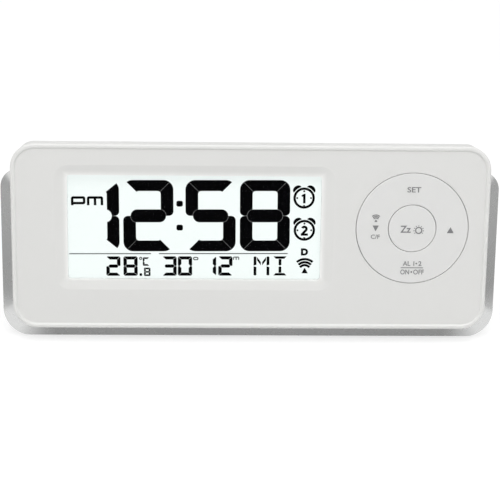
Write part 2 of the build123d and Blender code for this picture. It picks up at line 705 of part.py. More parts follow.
def rear_outside():
    """Outside of the rear shell: flared rim, drafted tub, sloping back and flat base."""
    rim = rim_outline(RIM_W / 2, RIM_BOTTOM, RIM_TOP, RIM_R, RIM_TOP_R)
    lead = inset(-FLARE_DEPTH) - FLARE_LAND
    run = RIM_SIDE + lead
    corner = FACE_R - lead - CORNER_TIGHTEN * FLARE_DEPTH
    front = rim_outline(
        RIM_W / 2 - run, RIM_BOTTOM + RIM_DROP + lead, RIM_TOP - run, corner, RIM_TOP_R - run / 2
    )
    flare = loft([Pos(0, 0, -FLARE_DEPTH) * front, Pos(0, 0, -RIM_DEPTH) * rim], ruled=True)
    tub = extrude(Pos(0, 0, -RIM_DEPTH) * rim, amount=-BIG / 10, taper=REAR_DRAFT)
    tub -= BACK * Pos(0, 0, BIG / 2) * Box(BIG, BIG, BIG)
    tub = fillet(back_edges(tub), REAR_ROUND)
    body = flare + tub
    body = fillet(rim_edges(body), RIM_EDGE)
    return body - GROUND * Pos(0, 0, -BIG / 2) * Box(BIG, BIG, BIG)


def back_edges(tub):
    """Edges of the tub that lie on the outside of the back wall."""
    return tub.faces().sort_by(Axis(BACK.origin, BACK.z_dir))[-1].edges()


def rim_edges(body):
    """Edges where the flare meets the tub."""
    return body.edges().filter_by_position(Axis.Z, -RIM_DEPTH, -RIM_DEPTH)


def rear_cavity():
    """Hollow of the tub, behind the shelf that the front shell seats on."""
    side = RIM_W / 2 - SIDE_WALL
    hollow = rim_outline(side, RIM_BOTTOM, RIM_TOP - REAR_WALL, CAVITY_R, CAVITY_R)
    room = slab(hollow, SHELF_BACK, -BIG / 4)
    room -= BACK * Pos(0, 0, BIG / 2 - REAR_WALL) * Box(BIG, BIG, BIG)
    return room - GROUND * Pos(0, 0, FLOOR_WALL - BIG / 2) * Box(BIG, BIG, BIG)


def shelf_opening():
    """Opening in the shelf, between the front shell's hollow and the tub's."""
    edge = inset(SHELL_BACK) + SHELF_W
    bottom = -FACE_H / 2 + edge
    top = RIM_TOP - REAR_WALL
    return slab(rim_outline(FACE_W / 2 - edge, bottom, top, CAVITY_R, CAVITY_R), SHELL_BACK, SHELF_BACK)


def tongue():
    """Low rib on the shelf that centres the front shell from inside."""
    outer = face_solid(-SHELL_WALL - TONGUE_FIT, SHELL_BACK + TONGUE_H, SHELL_BACK)
    rib = outer - face_solid(-SHELL_WALL - TONGUE_FIT - TONGUE_T, SHELL_BACK + TONGUE_H, SHELL_BACK)
    for x, y in CASE_PLACES:
        rib -= drum(CASE_BOSS_R + TONGUE_FIT, SHELL_BACK + TONGUE_H, SHELL_BACK, x, y)
    return rib


def rear_ribs():
    """What stands inside the tub: screw tubes, battery bay, cheeks, seats and antenna ribs."""
    tube_r = CASE_HEAD_R + CASE_HEAD_ROOM + CASE_TUBE_WALL
    ribs = BAY * block(DOOR_W, DOOR_H, 0, BAY_FLOOR - BAY_WALL)
    for x, y in CASE_PLACES:
        if y < 0:
            ribs += drum(tube_r, SHELL_BACK, -BIG / 4, x, y)
    cheek_h = 2 * (HINGE_R + CHEEK_WALL)
    for side in (-1, 1):
        x = side * (DOOR_W + CHEEK_W) / 2
        ribs += BAY * block(CHEEK_W, cheek_h, 0, -2 * HINGE_R - CHEEK_WALL, x, HINGE_Y)
    seat_end = -REAR_WALL - BUZZER_SEAT_H
    ribs += BUZZER * tube(BUZZER_SEAT_R + BUZZER_SEAT_WALL, BUZZER_SEAT_R, 0, seat_end)
    for x in (ROD_X - ROD_L / 2 + RIB_INSET, coil_end() - COIL_L - RIB_COIL_GAP):
        arm = ROD_R + COIL_FIT + RIB_ARM
        rib = block(RIB_T, 2 * arm, ROD_Z, -BIG / 4, x, ROD_Y)
        ribs += rib - bar_x(ROD_R + COIL_FIT, x - RIB_T, x + RIB_T, ROD_Y, ROD_Z)
    return ribs


def rear_holes():
    """What is cut through the rear shell: door, bay, hinge, screws, sound holes and vents."""
    holes = BAY * block(DOOR_W + 2 * DOOR_GAP, DOOR_H + 2 * DOOR_GAP, REAR_WALL, -DOOR_T - DOOR_SEAT)
    holes += BAY * block(BAY_L, BAY_H, 0, BAY_FLOOR)
    trough = DOOR_W / 2 + DOOR_GAP
    holes += BAY * bar_x(HINGE_R + DOOR_GAP, -trough, trough, HINGE_Y, -HINGE_R)
    reach = trough + HINGE_PIN_L
    holes += BAY * bar_x(PIN_R + PIN_FIT, -reach, reach, HINGE_Y, -HINGE_R)
    for side in (-1, 1):
        slot = TAIL_W + 2 * TAIL_FIT
        width = CONTACT_T + TAIL_FIT
        x = (BAY_L - width) / 2
        holes += BAY * block(width, slot, BAY_FLOOR, BAY_FLOOR - BAY_WALL, x, side * CELL_Y)
    for x, y in CASE_PLACES:
        holes += drum(CASE_SCREW_R + HOLE_FIT, SHELL_BACK, CASE_SEAT_Z, x, y)
        holes += drum(CASE_HEAD_R + CASE_HEAD_ROOM, CASE_SEAT_Z, -BIG / 4, x, y)
    for radius, count in SOUND_RINGS:
        for step in range(count):
            turn = 2 * pi * step / count
            x = radius * cos(turn)
            y = radius * sin(turn)
            holes += BUZZER * drum(SOUND_HOLE_R, REAR_WALL, -2 * REAR_WALL, x, y)
    rise = (THERMISTOR_Y - RIM_BOTTOM - BASE_RISE) / cos(radians(BACK_SLOPE))
    for step in range(VENT_COUNT):
        x = -THERMISTOR_X + (step - (VENT_COUNT - 1) / 2) * VENT_PITCH
        slot = Pos(x, rise) * SlotOverall(VENT_H, VENT_W, rotation=90)
        holes += BACK * slab(slot, REAR_WALL, -2 * REAR_WALL)
    return holes


def foot_places():
    """Middle of each foot on the ground plane."""
    x = RIM_W / 2 - FOOT_INSET
    return [(side * x, y) for side in (-1, 1) for y in (FOOT_FRONT, FOOT_BACK)]


def rear_shell():
    """Silver rear shell, with everything that is moulded in it."""
    solid = rear_outside() - face_solid(SHELL_FIT, 0, SHELL_BACK)
    shell = solid - rear_cavity()
    shelf = face_solid(-SHELF_INSET, SHELL_BACK, SHELF_BACK)
    shell += shelf
    shell -= shelf_opening()
    shell += tongue()
    inside = solid - slab(Rectangle(BIG, BIG), 0, SHELL_BACK)
    shell += rear_ribs() & inside
    shell -= rear_holes()
    for x, y in foot_places():
        shell -= GROUND * drum(FOOT_R, FOOT_SINK, 0, x, y)
    return shell


def rubber_feet():
    """Four rubber pads let into the base."""
    feet = []
    for x, y in foot_places():
        pad = drum(FOOT_R, FOOT_SINK, FOOT_SINK - FOOT_T, x, y)
        pad = chamfer(pad.faces().sort_by(Axis.Z)[0].edges(), FOOT_EDGE)
        feet.append(GROUND * pad)
    return Compound(feet)


def battery_door():
    """Hinged door with a knuckle, two pins, a sprung latch tongue and grip ribs."""
    height = DOOR_H / 2 - HINGE_Y
    door = block(DOOR_W, height, 0, -DOOR_T, 0, HINGE_Y + height / 2)
    door += bar_x(HINGE_R, -DOOR_W / 2, DOOR_W / 2, HINGE_Y, -HINGE_R)
    reach = DOOR_W / 2 + HINGE_PIN_L
    door += bar_x(PIN_R, -reach, reach, HINGE_Y, -HINGE_R)
    slot_y = DOOR_H / 2 - LATCH_H / 2
    for side in (-1, 1):
        door -= block(LATCH_SLOT, LATCH_H, 0, -DOOR_T, side * (LATCH_W + LATCH_SLOT) / 2, slot_y)
    nub_w = LATCH_W - 2 * DOOR_T
    door += block(nub_w, 2 * LATCH_NUB, -DOOR_T / 3, -DOOR_T, 0, DOOR_H / 2)
    for step in range(GRIP_COUNT):
        y = slot_y + (step - (GRIP_COUNT - 1) / 2) * GRIP_PITCH
        door += block(nub_w, GRIP_W, GRIP_H, 0, 0, y)
    return BAY * door


def cell(side):
    """One dry cell along X, its nub towards the side given; the upper cell is +1."""
    plate = side * (BAY_L / 2 - CONTACT_T)
    tip = plate
    shoulder = plate - side * NUB_L
    tail = plate - side * CELL_L
    y = side * CELL_Y
    barrel = bar_x(CELL_R, min(shoulder, tail), max(shoulder, tail), y, CELL_Z)
    barrel = fillet(barrel.edges().filter_by(GeomType.CIRCLE), CELL_EDGE)
    nub = bar_x(NUB_D / 2, min(shoulder, tip), max(shoulder, tip), y, CELL_Z)
    return BAY * (barrel + nub)


def contact_plate(y, height, x):
    """A contact plate against one end of the bay."""
    return block(CONTACT_T, height, CELL_Z + CONTACT_W / 2, CELL_Z - CONTACT_W / 2, x, y)


def tailed_contact(side):
    """Plate for one cell, with a solder tail through the bay's floor."""
    x = (BAY_L - CONTACT_T) / 2
    plate = contact_plate(side * CELL_Y, CONTACT_W, x)
    return BAY * (plate + block(CONTACT_T, TAIL_W, CELL_Z, TAIL_END, x, side * CELL_Y))


def bridge_contact():
    """Plate that joins the two cells at the far end of the bay."""
    return BAY * contact_plate(0, CONTACT_W + 2 * CELL_Y, (CONTACT_T - BAY_L) / 2)


def coil_spring(start, side, y):
    """Spring along X of half circles that meet tangent, from a plate to a cell."""
    wire_r = SPRING_WIRE / 2
    step = (SPRING_L - 3 * SPRING_WIRE) / (2 * SPRING_TURNS)
    first = start + side * (SPRING_WIRE * 1.5 / 2)
    arcs = []
    for half in range(2 * SPRING_TURNS):
        swing = 1 if half % 2 == 0 else -1
        here = Vector(first + side * step * half, y + swing * SPRING_R, CELL_Z)
        there = Vector(first + side * step * (half + 1), y - swing * SPRING_R, CELL_Z)
        arcs.append(TangentArc(here, there, tangent=(0, 0, swing)))
    path = Wire(arcs)
    return sweep(Plane(path @ 0, z_dir=path % 0) * Circle(wire_r), path=path)


def battery_springs():
    """One spring behind each cell's flat end."""
    plate = BAY_L / 2 - CONTACT_T
    springs = [coil_spring(-side * plate, side, side * CELL_Y) for side in (1, -1)]
    return BAY * Compound(springs)


def battery_lead(side):
    """Lead from a contact's tail to the board, clear of the bay."""
    start = (BAY * Pos(BAY_L / 2 - CONTACT_T / 2, side * CELL_Y, TAIL_END)).position
    room = BOARD_BACK - start.Z
    turn = start - BACK.z_dir * room / 2
    over = turn + Vector(-BATTERY_LEAD_OUT, 0, 0)
    land = Vector(over.X, over.Y, BOARD_BACK)
    return wire([start, turn, over, land], BATTERY_LEAD_R, room * BATTERY_LEAD_BEND)


def ferrite_rod():
    """Ferrite rod of the time-signal antenna."""
    return bar_x(ROD_R, ROD_X - ROD_L / 2, ROD_X + ROD_L / 2, ROD_Y, ROD_Z)


def coil_end():
    """Right-hand end of the antenna coil, along X."""
    return ROD_X + ROD_L / 2 - COIL_INSET


def antenna_coil():
    """Wound coil on the rod's right-hand end."""
    end = coil_end()
    winding = bar_x(COIL_R, end - COIL_L, end, ROD_Y, ROD_Z)
    return winding - bar_x(ROD_R, end - COIL_L, end, ROD_Y, ROD_Z)


def antenna_leads():
    """Two fine wires from the coil to the receiver board."""
    leads = []
    reach = (ROD_R + COIL_R) / 2
    for side in (-1, 1):
        y = ROD_Y + side * reach * cos(radians(30))
        z = ROD_Z + reach * sin(radians(30))
        land = RECEIVER_X - RECEIVER_W / 2 + ANTENNA_LEAD_STEP / 2
        points = [(coil_end(), y, z), (land, y, z), (land, y, BOARD_BACK - RECEIVER_T)]
        leads.append(wire(points, ANTENNA_LEAD_R, 4 * ANTENNA_LEAD_R))
    return Compound(leads)


def receiver_board():
    """Small receiver board on the main board's rear."""
    return block(RECEIVER_W, RECEIVER_H, BOARD_BACK, BOARD_BACK - RECEIVER_T, RECEIVER_X, ROD_Y)


def receiver_chip():
    """Drop of black resin over the receiver's chip."""
    front = BOARD_BACK - RECEIVER_T
    return drum(RECEIVER_CHIP_R, front, front - RECEIVER_CHIP_T, RECEIVER_X + RECEIVER_CHIP_R, ROD_Y)


def buzzer_case():
    """Cup of the buzzer, open to the sound holes, with a step for the disc."""
    front = -REAR_WALL
    cup = drum(BUZZER_R, front, front - BUZZER_T)
    cup -= drum(BUZZER_R - BUZZER_WALL, front, front - DISC_DEPTH - DISC_T)
    cup -= drum(BUZZER_R - BUZZER_WALL - BUZZER_STEP, front, front - BUZZER_T + BUZZER_WALL)
    return BUZZER * cup


def piezo_disc():
    """Brass disc of the buzzer, on the cup's step."""
    front = -REAR_WALL - DISC_DEPTH
    return BUZZER * drum(BUZZER_R - BUZZER_WALL - BUZZER_FIT, front, front - DISC_T)


def buzzer_leads():
    """Two leads from the buzzer to the board."""
    leads = []
    for side in (-1, 1):
        start = (BUZZER * Pos(side * BUZZER_LEAD_SPREAD / 2, 0, -REAR_WALL - BUZZER_T)).position
        inward = BACK.z_dir * -2 * REAR_WALL
        land = Vector(start.X, start.Y - 2 * BUZZER_LEAD_SPREAD, BOARD_BACK)
        points = [start, start + inward, land - Vector(0, 0, REAR_WALL), land]
        leads.append(wire(points, BUZZER_LEAD_R, 2 * BUZZER_LEAD_R))
    return Compound(leads)


def controller_chip():
    """Low dome of black resin over the clock's chip."""
    return drum(CHIP_R, BOARD_BACK, BOARD_BACK - CHIP_T, CHIP_X, CHIP_Y)


def quartz_crystal():
    """Watch crystal lying on the board."""
    z = BOARD_BACK - CRYSTAL_R
    return bar_x(CRYSTAL_R, CRYSTAL_X - CRYSTAL_L / 2, CRYSTAL_X + CRYSTAL_L / 2, CRYSTAL_Y, z)


def capacitors():
    """Two standing capacitors."""
    back = BOARD_BACK - CAPACITOR_H
    places = [(KEY_X + x, y - BOARD_H / 2) for x, y in CAPACITOR_PLACES]
    return Compound([drum(CAPACITOR_R, BOARD_BACK, back, x, y) for x, y in places])


def thermistor():
    """Temperature bead on two legs, behind the vents."""
    tip = BOARD_BACK - THERMISTOR_REACH
    bead = Pos(THERMISTOR_X, THERMISTOR_Y, tip) * Sphere(THERMISTOR_R)
    for side in (-1, 1):
        x = THERMISTOR_X + side * THERMISTOR_SPREAD / 2
        bead += drum(THERMISTOR_LEG_R, BOARD_BACK, tip, x, THERMISTOR_Y)
    return bead


PIECES = {
    "front_shell": front_shell(),
    "rear_shell": rear_shell(),
    "battery_door": battery_door(),
    "rubber_feet": rubber_feet(),
    "case_screws": case_screws(),
    "window_lens": window_lens(),
    "front_polariser": stack_sheet(LENS_BACK, FRONT_GLASS_FRONT),
    "lcd_front_glass": lcd_front_glass(),
    "lcd_rear_glass": stack_sheet(FRONT_GLASS_BACK, REAR_GLASS_BACK),
    "rear_polariser": stack_sheet(REAR_GLASS_BACK, GUIDE_FRONT),
    "light_guide": stack_sheet(GUIDE_FRONT, GUIDE_BACK),
    "reflector_film": stack_sheet(GUIDE_BACK, REFLECTOR_BACK),
    "backlight_leds": backlight_leds(),
    "display_holder": display_holder(),
    "zebra_strip": zebra_strip(),
    "ring_key": ring_key(),
    "rocker_gimbal": rocker_gimbal(),
    "centre_button": centre_button(),
    "key_carrier": key_carrier(),
    "keypad_mat": keypad_mat(),
    "contact_pills": contact_pills(),
    "main_board": main_board(),
    "board_screws": board_screws(),
    "controller_chip": controller_chip(),
    "quartz_crystal": quartz_crystal(),
    "capacitors": capacitors(),
    "thermistor": thermistor(),
    "ferrite_rod": ferrite_rod(),
    "antenna_coil": antenna_coil(),
    "antenna_leads": antenna_leads(),
    "receiver_board": receiver_board(),
    "receiver_chip": receiver_chip(),
    "buzzer_case": buzzer_case(),
    "piezo_disc": piezo_disc(),
    "buzzer_leads": buzzer_leads(),
    "upper_cell": cell(1),
    "lower_cell": cell(-1),
    "positive_contact": tailed_contact(1),
    "negative_contact": tailed_contact(-1),
    "bridge_contact": bridge_contact(),
    "battery_springs": battery_springs(),
    "battery_lead_red": battery_lead(1),
    "battery_lead_black": battery_lead(-1),
}

# Lean the clock back, then stand it with the middle of its box's underside on the origin
LEANT = Rot(90 - LEAN, 0, 0)
BOX = Compound([LEANT * piece for piece in PIECES.values()]).bounding_box()
PLACED = Pos(-BOX.center().X, -BOX.center().Y, -BOX.min.Z) * LEANT

os.makedirs("parts", exist_ok=True)
for name, piece in PIECES.items():
    export_step(PLACED * piece, f"parts/{name}.step")

# Places that the joints and the feet are stated at, in the standing frame
for label, place in (
    ("size", Pos(BOX.size)),
    ("ring pivot", PLACED * Pos(KEY_X, KEY_Y, PIVOT_Z)),
    ("door hinge", PLACED * BAY * Pos(0, HINGE_Y, -HINGE_R)),
    ("front right foot", PLACED * (GROUND * Pos(foot_places()[2][0], FOOT_FRONT, FOOT_SINK - FOOT_T))),
    ("rear right foot", PLACED * (GROUND * Pos(foot_places()[3][0], FOOT_BACK, FOOT_SINK - FOOT_T))),
):
    print(label, [round(value, 4) for value in place.position])
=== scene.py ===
"""Looks of a radio-controlled alarm clock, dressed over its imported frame.

Lengths are in millimetres unless a name or a comment says otherwise. The face frame has u to the
right, v up the face and w out of it, from the middle of the lip's front plane.
"""

import json
import logging
import math
from dataclasses import dataclass, replace
from enum import Enum
from typing import Any, Sequence

import bpy
import numpy as np
from mathutils import Matrix


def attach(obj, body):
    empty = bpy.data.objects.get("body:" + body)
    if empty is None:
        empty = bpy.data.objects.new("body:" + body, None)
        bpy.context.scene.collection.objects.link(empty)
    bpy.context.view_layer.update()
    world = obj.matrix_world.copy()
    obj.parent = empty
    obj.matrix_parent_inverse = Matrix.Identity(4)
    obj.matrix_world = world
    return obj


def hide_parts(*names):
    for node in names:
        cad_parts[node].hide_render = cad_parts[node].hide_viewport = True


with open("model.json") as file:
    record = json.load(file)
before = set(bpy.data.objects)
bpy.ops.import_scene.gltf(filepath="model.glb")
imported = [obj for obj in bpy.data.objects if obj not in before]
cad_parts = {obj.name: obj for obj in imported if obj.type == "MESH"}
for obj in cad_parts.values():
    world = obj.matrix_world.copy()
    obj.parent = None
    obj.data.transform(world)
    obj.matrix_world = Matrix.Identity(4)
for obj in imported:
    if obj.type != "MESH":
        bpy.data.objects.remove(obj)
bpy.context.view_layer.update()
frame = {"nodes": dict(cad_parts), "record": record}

Colour = tuple[float, float, float]
Joints = dict[str, dict[str, Any]]
Points = np.ndarray
Outline = Points | Sequence[Sequence[float]]
Socket = bpy.types.NodeSocket

LOG = logging.getLogger("clock")
MM = 0.001
WHITE = (1.0, 1.0, 1.0, 1.0)
SAME = 1e-6  # points nearer to each other than this are one point
CORNER_STEPS = 8  # points on a rounded corner
LETTER_STEPS = 5  # points on each stretch of a letter's curve
LETTER_DEPTH = 0.1  # any depth, because letters are scaled to their box
LETTER_DECIMALS = 5  # decimals to which a letter's points are compared
BACK_SLOPE = 8.3  # angle of the back wall from the vertical, in degrees
RING_PIVOT = (48.4, 3.2, -4.2)  # ring's pivot in the face frame
DOOR_HINGE = (0.0, -11.7, -1.2)  # door's hinge in the battery bay's frame


class Body(Enum):
    """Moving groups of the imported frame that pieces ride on."""

    CASE = "clock_body"
    DOOR = "battery_door"
    RING = "ring_key"
    BUTTON = "centre_button"


class Grain(Enum):
    """Fine pattern that a finish carries."""

    MOULDED = "moulded"
    FLAKE = "flake"
    BRUSHED = "brushed"
    WOVEN = "woven"


def spin(turn: float) -> Points:
    """Axes turned about w by an angle in degrees, counter-clockwise as seen from outside."""
    c, s = math.cos(math.radians(turn)), math.sin(math.radians(turn))
    return np.array([[c, s, 0.0], [-s, c, 0.0], [0.0, 0.0, 1.0]])


def facing(back: Points, up: Sequence[float]) -> Points:
    """Axes of a camera or lamp.

    The right axis is the cross product of the upward direction and the back axis, and the top
    axis is that of the back and right axes.

    Args:
        back: Direction from what is looked at to the camera or lamp.
        up: Direction that shows as upwards.

    Returns:
        Unit vectors to the right, up and back, one to a row.
    """
    back = back / np.linalg.norm(back)
    right = np.cross(up, back)
    right /= np.linalg.norm(right)
    return np.stack([right, np.cross(back, right), back])


def pose(axes: Points, spot: Points) -> Matrix:
    """Makes an object's matrix.

    Args:
        axes: The object's own axes, one to a row.
        spot: Its place, in metres.

    Returns:
        The matrix, with the axes as columns and the place after them.
    """
    matrix = np.eye(4)
    matrix[:3, :3] = axes.T
    matrix[:3, 3] = spot
    return Matrix(matrix.tolist())


def link(name: str, data: Any) -> bpy.types.Object:
    """Puts a mesh, curve, lamp or camera into the scene.

    Args:
        name: The object's name.
        data: What it shows.

    Returns:
        The object, at the origin.
    """
    made = bpy.data.objects.new(name, data)
    bpy.context.scene.collection.objects.link(made)
    return made


def read(items: Any, field: str, width: int, kind: type) -> Points:
    """Reads one field of all of a mesh's vertices, corners or faces.

    Args:
        items: The vertices, corners or faces.
        field: The field's name.
        width: Numbers in each item's field.
        kind: Kind of number.

    Returns:
        The numbers in one row.
    """
    values = np.empty(len(items) * width, kind)
    items.foreach_get(field, values)
    return values


@dataclass(frozen=True)
class Placement:
    """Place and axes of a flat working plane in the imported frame."""

    origin: Points  # the plane's origin, in metres
    axes: Points  # unit vectors along u, v and w, one to a row

    @classmethod
    def of_face(cls, joints: Joints) -> "Placement":
        """Finds the face frame from the ring key's joint.

        The joint's axis is v, and w is the cross product of u and v.

        Args:
            joints: The record's joints by name.

        Returns:
            The face frame.
        """
        rock = joints["ring_rock_left_right"]
        u = np.array([1.0, 0.0, 0.0])
        v = np.array(rock["axis"], float)
        v /= np.linalg.norm(v)
        axes = np.stack([u, v, np.cross(u, v)])
        return cls(np.array(rock["pos_m"]) - MM * np.array(RING_PIVOT) @ axes, axes)

    @classmethod
    def of_bay(cls, joints: Joints) -> "Placement":
        """Finds the battery bay's frame from the door's hinge.

        Args:
            joints: The record's joints by name.

        Returns:
            A frame with u to the left, v up the back wall and w out of it.
        """
        s, c = math.sin(math.radians(BACK_SLOPE)), math.cos(math.radians(BACK_SLOPE))
        axes = np.array([[-1.0, 0.0, 0.0], [0.0, -s, c], [0.0, c, s]])
        hinge = np.array(joints["battery_door_hinge"]["pos_m"])
        return cls(hinge - MM * np.array(DOOR_HINGE) @ axes, axes)

    def moved(self, u: float, v: float, turn: float = 0.0) -> "Placement":
        """Frame moved to the right and up on its plane, then turned by an angle in degrees."""
        return Placement(self.origin + MM * np.array([u, v, 0.0]) @ self.axes, spin(turn) @ self.axes)

    def place(self, points: Points) -> Points:
        """Points in metres: the origin plus the sum of each coordinate times its axis."""
        return self.origin + MM * points @ self.axes


def arc(u: float, v: float, radius: float, start: float, end: float, steps: int = 9) -> Points:
    """Arc between two angles in degrees: its centre plus its radius times cosine and sine."""
    angle = np.radians(np.linspace(start, end, steps))
    return np.stack([u + radius * np.cos(angle), v + radius * np.sin(angle)], axis=1)


def circle(u: float, v: float, radius: float, steps: int = 18) -> Points:
    """Circle of even steps: an arc that ends one step short of a full turn."""
    return arc(u, v, radius, 0.0, 360.0 - 360.0 / steps, steps)


def rounded(corners: Outline, radius: float, closed: bool = True) -> Points:
    """Path with an arc in place of each corner.

    An arc is a rational quadratic curve from one tangent point to the other, weighted at the
    corner by the sine of half the corner's angle, which is an exact circle.

    Args:
        corners: The path's corners.
        radius: Radius of the arcs.
        closed: Whether the path returns to its start; an open one keeps its end points.

    Returns:
        The path, one point to a row.
    """
    p = np.asarray(corners, float)
    r = np.full(len(p), float(radius))
    back, ahead = np.roll(p, 1, axis=0) - p, np.roll(p, -1, axis=0) - p
    if not closed:
        r[[0, -1]] = 0.0
        back[0], ahead[-1] = -ahead[0], -back[-1]
    back /= np.linalg.norm(back, axis=1, keepdims=True)
    ahead /= np.linalg.norm(ahead, axis=1, keepdims=True)
    half = np.arccos(np.clip((back * ahead).sum(axis=1), -1.0, 1.0)) / 2
    reach = (r / np.tan(half))[:, None]
    t = np.linspace(0.0, 1.0, CORNER_STEPS)[None, :, None]
    first, last = (1 - t) ** 2, t**2
    middle = 2 * t * (1 - t) * np.sin(half)[:, None, None]
    path = first * (p + back * reach)[:, None] + middle * p[:, None]
    path = ((path + last * (p + ahead * reach)[:, None]) / (first + middle + last)).reshape(-1, 2)
    keep = np.linalg.norm(path - np.roll(path, 1, axis=0), axis=1) > SAME
    if not closed:
        keep[0] = True
    return path[keep]


def oblong(width: float, height: float, radius: float, u: float = 0.0, v: float = 0.0) -> Points:
    """Rounded rectangle about a point, counter-clockwise."""
    x, y = width / 2, height / 2
    return rounded([(-x, -y), (x, -y), (x, y), (-x, y)], radius) + np.array([u, v])


class Shape:
    """Solids gathered for one piece, each carried along a path or through levels."""

    def __init__(self, front: float = 0.0, back: float = 0.0) -> None:
        """Starts with nothing gathered.

        Args:
            front: Height along w of the front of plates, strokes and letters.
            back: Height of their back.
        """
        self.front = front
        self.back = back
        self.points: list[Points] = []
        self.faces: list[list[int]] = []
        self.count = 0

    def add(self, points: Points, *blocks: Points) -> None:
        """Adds one solid.

        Args:
            points: Its vertices.
            blocks: Its faces, as arrays with the vertex numbers of one face to a row.
        """
        for block in blocks:
            self.faces += (block + self.count).tolist()
        self.points.append(points)
        self.count += len(points)

    def stack(self, outlines: Sequence[Outline], levels: Sequence[float]) -> None:
        """Adds a solid that passes through one outline at each level, capped at both ends.

        Args:
            outlines: Outlines with the same number of points.
            levels: Height of each outline along w, from the front to the back.
        """
        rings = np.stack([np.asarray(outline, float) for outline in outlines])
        u, v = rings[0].T
        if np.sum(u * np.roll(v, -1) - v * np.roll(u, -1)) < 0:
            rings = rings[:, ::-1]
        rows, size = rings.shape[:2]
        height = np.repeat(np.asarray(levels, float), size)[:, None]
        i = np.arange(size)
        j = np.roll(i, -1)
        base = (np.arange(rows - 1) * size)[:, None]
        sides = np.stack([base + i, base + size + i, base + size + j, base + j], axis=-1)
        cap = i[None, ::-1] + (rows - 1) * size
        self.add(np.hstack([rings.reshape(-1, 2), height]), sides.reshape(-1, 4), i[None], cap)

    def plate(self, outline: Outline) -> None:
        """Adds a flat plate from the front to the back."""
        self.stack([outline, outline], [self.front, self.back])

    def ribbon(self, path: Outline, width: float, closed: bool = False) -> None:
        """Adds a stroke: a rectangular section carried along a path.

        The section's sides lie half the width along the path's normal to either side.

        Args:
            path: The stroke's middle line.
            width: The stroke's width.
            closed: Whether the path returns to its start.
        """
        path = np.asarray(path, float)
        if closed:
            run = np.roll(path, -1, axis=0) - np.roll(path, 1, axis=0)
        else:
            run = np.gradient(path, axis=0)
        run /= np.linalg.norm(run, axis=1, keepdims=True)
        out = np.stack([-run[:, 1], run[:, 0]], axis=1) * width / 2
        side = np.stack([path + out, path - out, path - out, path + out], axis=1)
        height = np.broadcast_to([self.front, self.front, self.back, self.back], side.shape[:2])
        points = np.concatenate([side, height[..., None]], axis=2).reshape(-1, 3)
        rows = len(path) if closed else len(path) - 1
        i = (np.arange(rows) * 4)[:, None]
        n = (np.roll(np.arange(len(path)), -1)[:rows] * 4)[:, None]
        k = np.arange(4)
        m = np.roll(k, -1)
        sides = np.stack([i + k, i + m, n + m, n + k], axis=-1).reshape(-1, 4)
        caps = [] if closed else [-k[None] % 4, k[None] + 4 * (len(path) - 1)]
        self.add(points, sides, *caps)

    def letter_m(self, posts: Sequence[float], foot: float, top: float, corner: float,
                 stroke: float) -> None:
        """Adds a small m: a hoop with rounded corners and a post inside it.

        Args:
            posts: Left side of the hoop, the post and the hoop's right side.
            foot: Foot of the letter.
            top: Top of the letter.
            corner: Radius of the hoop's corners.
            stroke: Width of the strokes.
        """
        left, middle, right = posts
        hoop = rounded([(left, foot), (left, top), (right, top), (right, foot)], corner, False)
        self.ribbon(hoop, stroke)
        self.ribbon([(middle, top), (middle, foot)], stroke)

    def text(self, words: str, u: float, v: float, width: float, height: float, weight: float) -> None:
        """Adds letters, scaled to fill a box.

        Args:
            words: The letters.
            u: Middle of the box to the right.
            v: Middle of the box upwards.
            width: The box's width.
            height: The box's height.
            weight: Growth of the strokes, as a share of the letters' size.
        """
        curve = bpy.data.curves.new("letters", "FONT")
        curve.body = words
        curve.resolution_u = LETTER_STEPS
        curve.extrude = LETTER_DEPTH
        curve.offset = weight
        holder = link("letters", curve)
        graph = bpy.context.evaluated_depsgraph_get()
        mesh = bpy.data.meshes.new_from_object(holder.evaluated_get(graph))
        points = read(mesh.vertices, "co", 3, float).reshape(-1, 3).round(LETTER_DECIMALS)
        points, number = np.unique(points, axis=0, return_inverse=True)
        corner = number.reshape(-1)[read(mesh.loops, "vertex_index", 1, np.int32)]
        start = read(mesh.polygons, "loop_start", 1, np.int32)
        total = read(mesh.polygons, "loop_total", 1, np.int32)
        blocks = [corner[start[total == size][:, None] + np.arange(size)] for size in np.unique(total)]
        whole = [(np.diff(np.sort(block, axis=1), axis=1) > 0).all(axis=1) for block in blocks]
        bpy.data.objects.remove(holder)
        bpy.data.curves.remove(curve)
        bpy.data.meshes.remove(mesh)
        low, high = points.min(axis=0), points.max(axis=0)
        share = (points - low) / (high - low) - 0.5
        place = np.array([u, v, (self.front + self.back) / 2])
        scale = np.array([width, height, self.front - self.back])
        self.add(place + share * scale, *(block[keep] for block, keep in zip(blocks, whole)))

    def piece(self, name: str, placement: Placement, finish: "Finish", body: Body,
              slot: str, *nodes: str) -> None:
        """Makes the gathered solids into one piece of the clock.

        Args:
            name: The piece's name.
            placement: Frame that the points are in.
            finish: The piece's finish.
            body: Body that it rides on.
            slot: Name of a material slot of the record; not used.
            nodes: CAD nodes that it stands for.
        """
        mesh = bpy.data.meshes.new(name)
        points = placement.place(np.concatenate(self.points))
        mesh.from_pydata(points.tolist(), [], self.faces)
        mesh.validate()
        mesh.materials.append(finish.material())
        obj = link(name, mesh)
        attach(obj, body.value)
        if nodes:
            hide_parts(*nodes)
        LOG.info("%s: %d vertices", name, len(points))


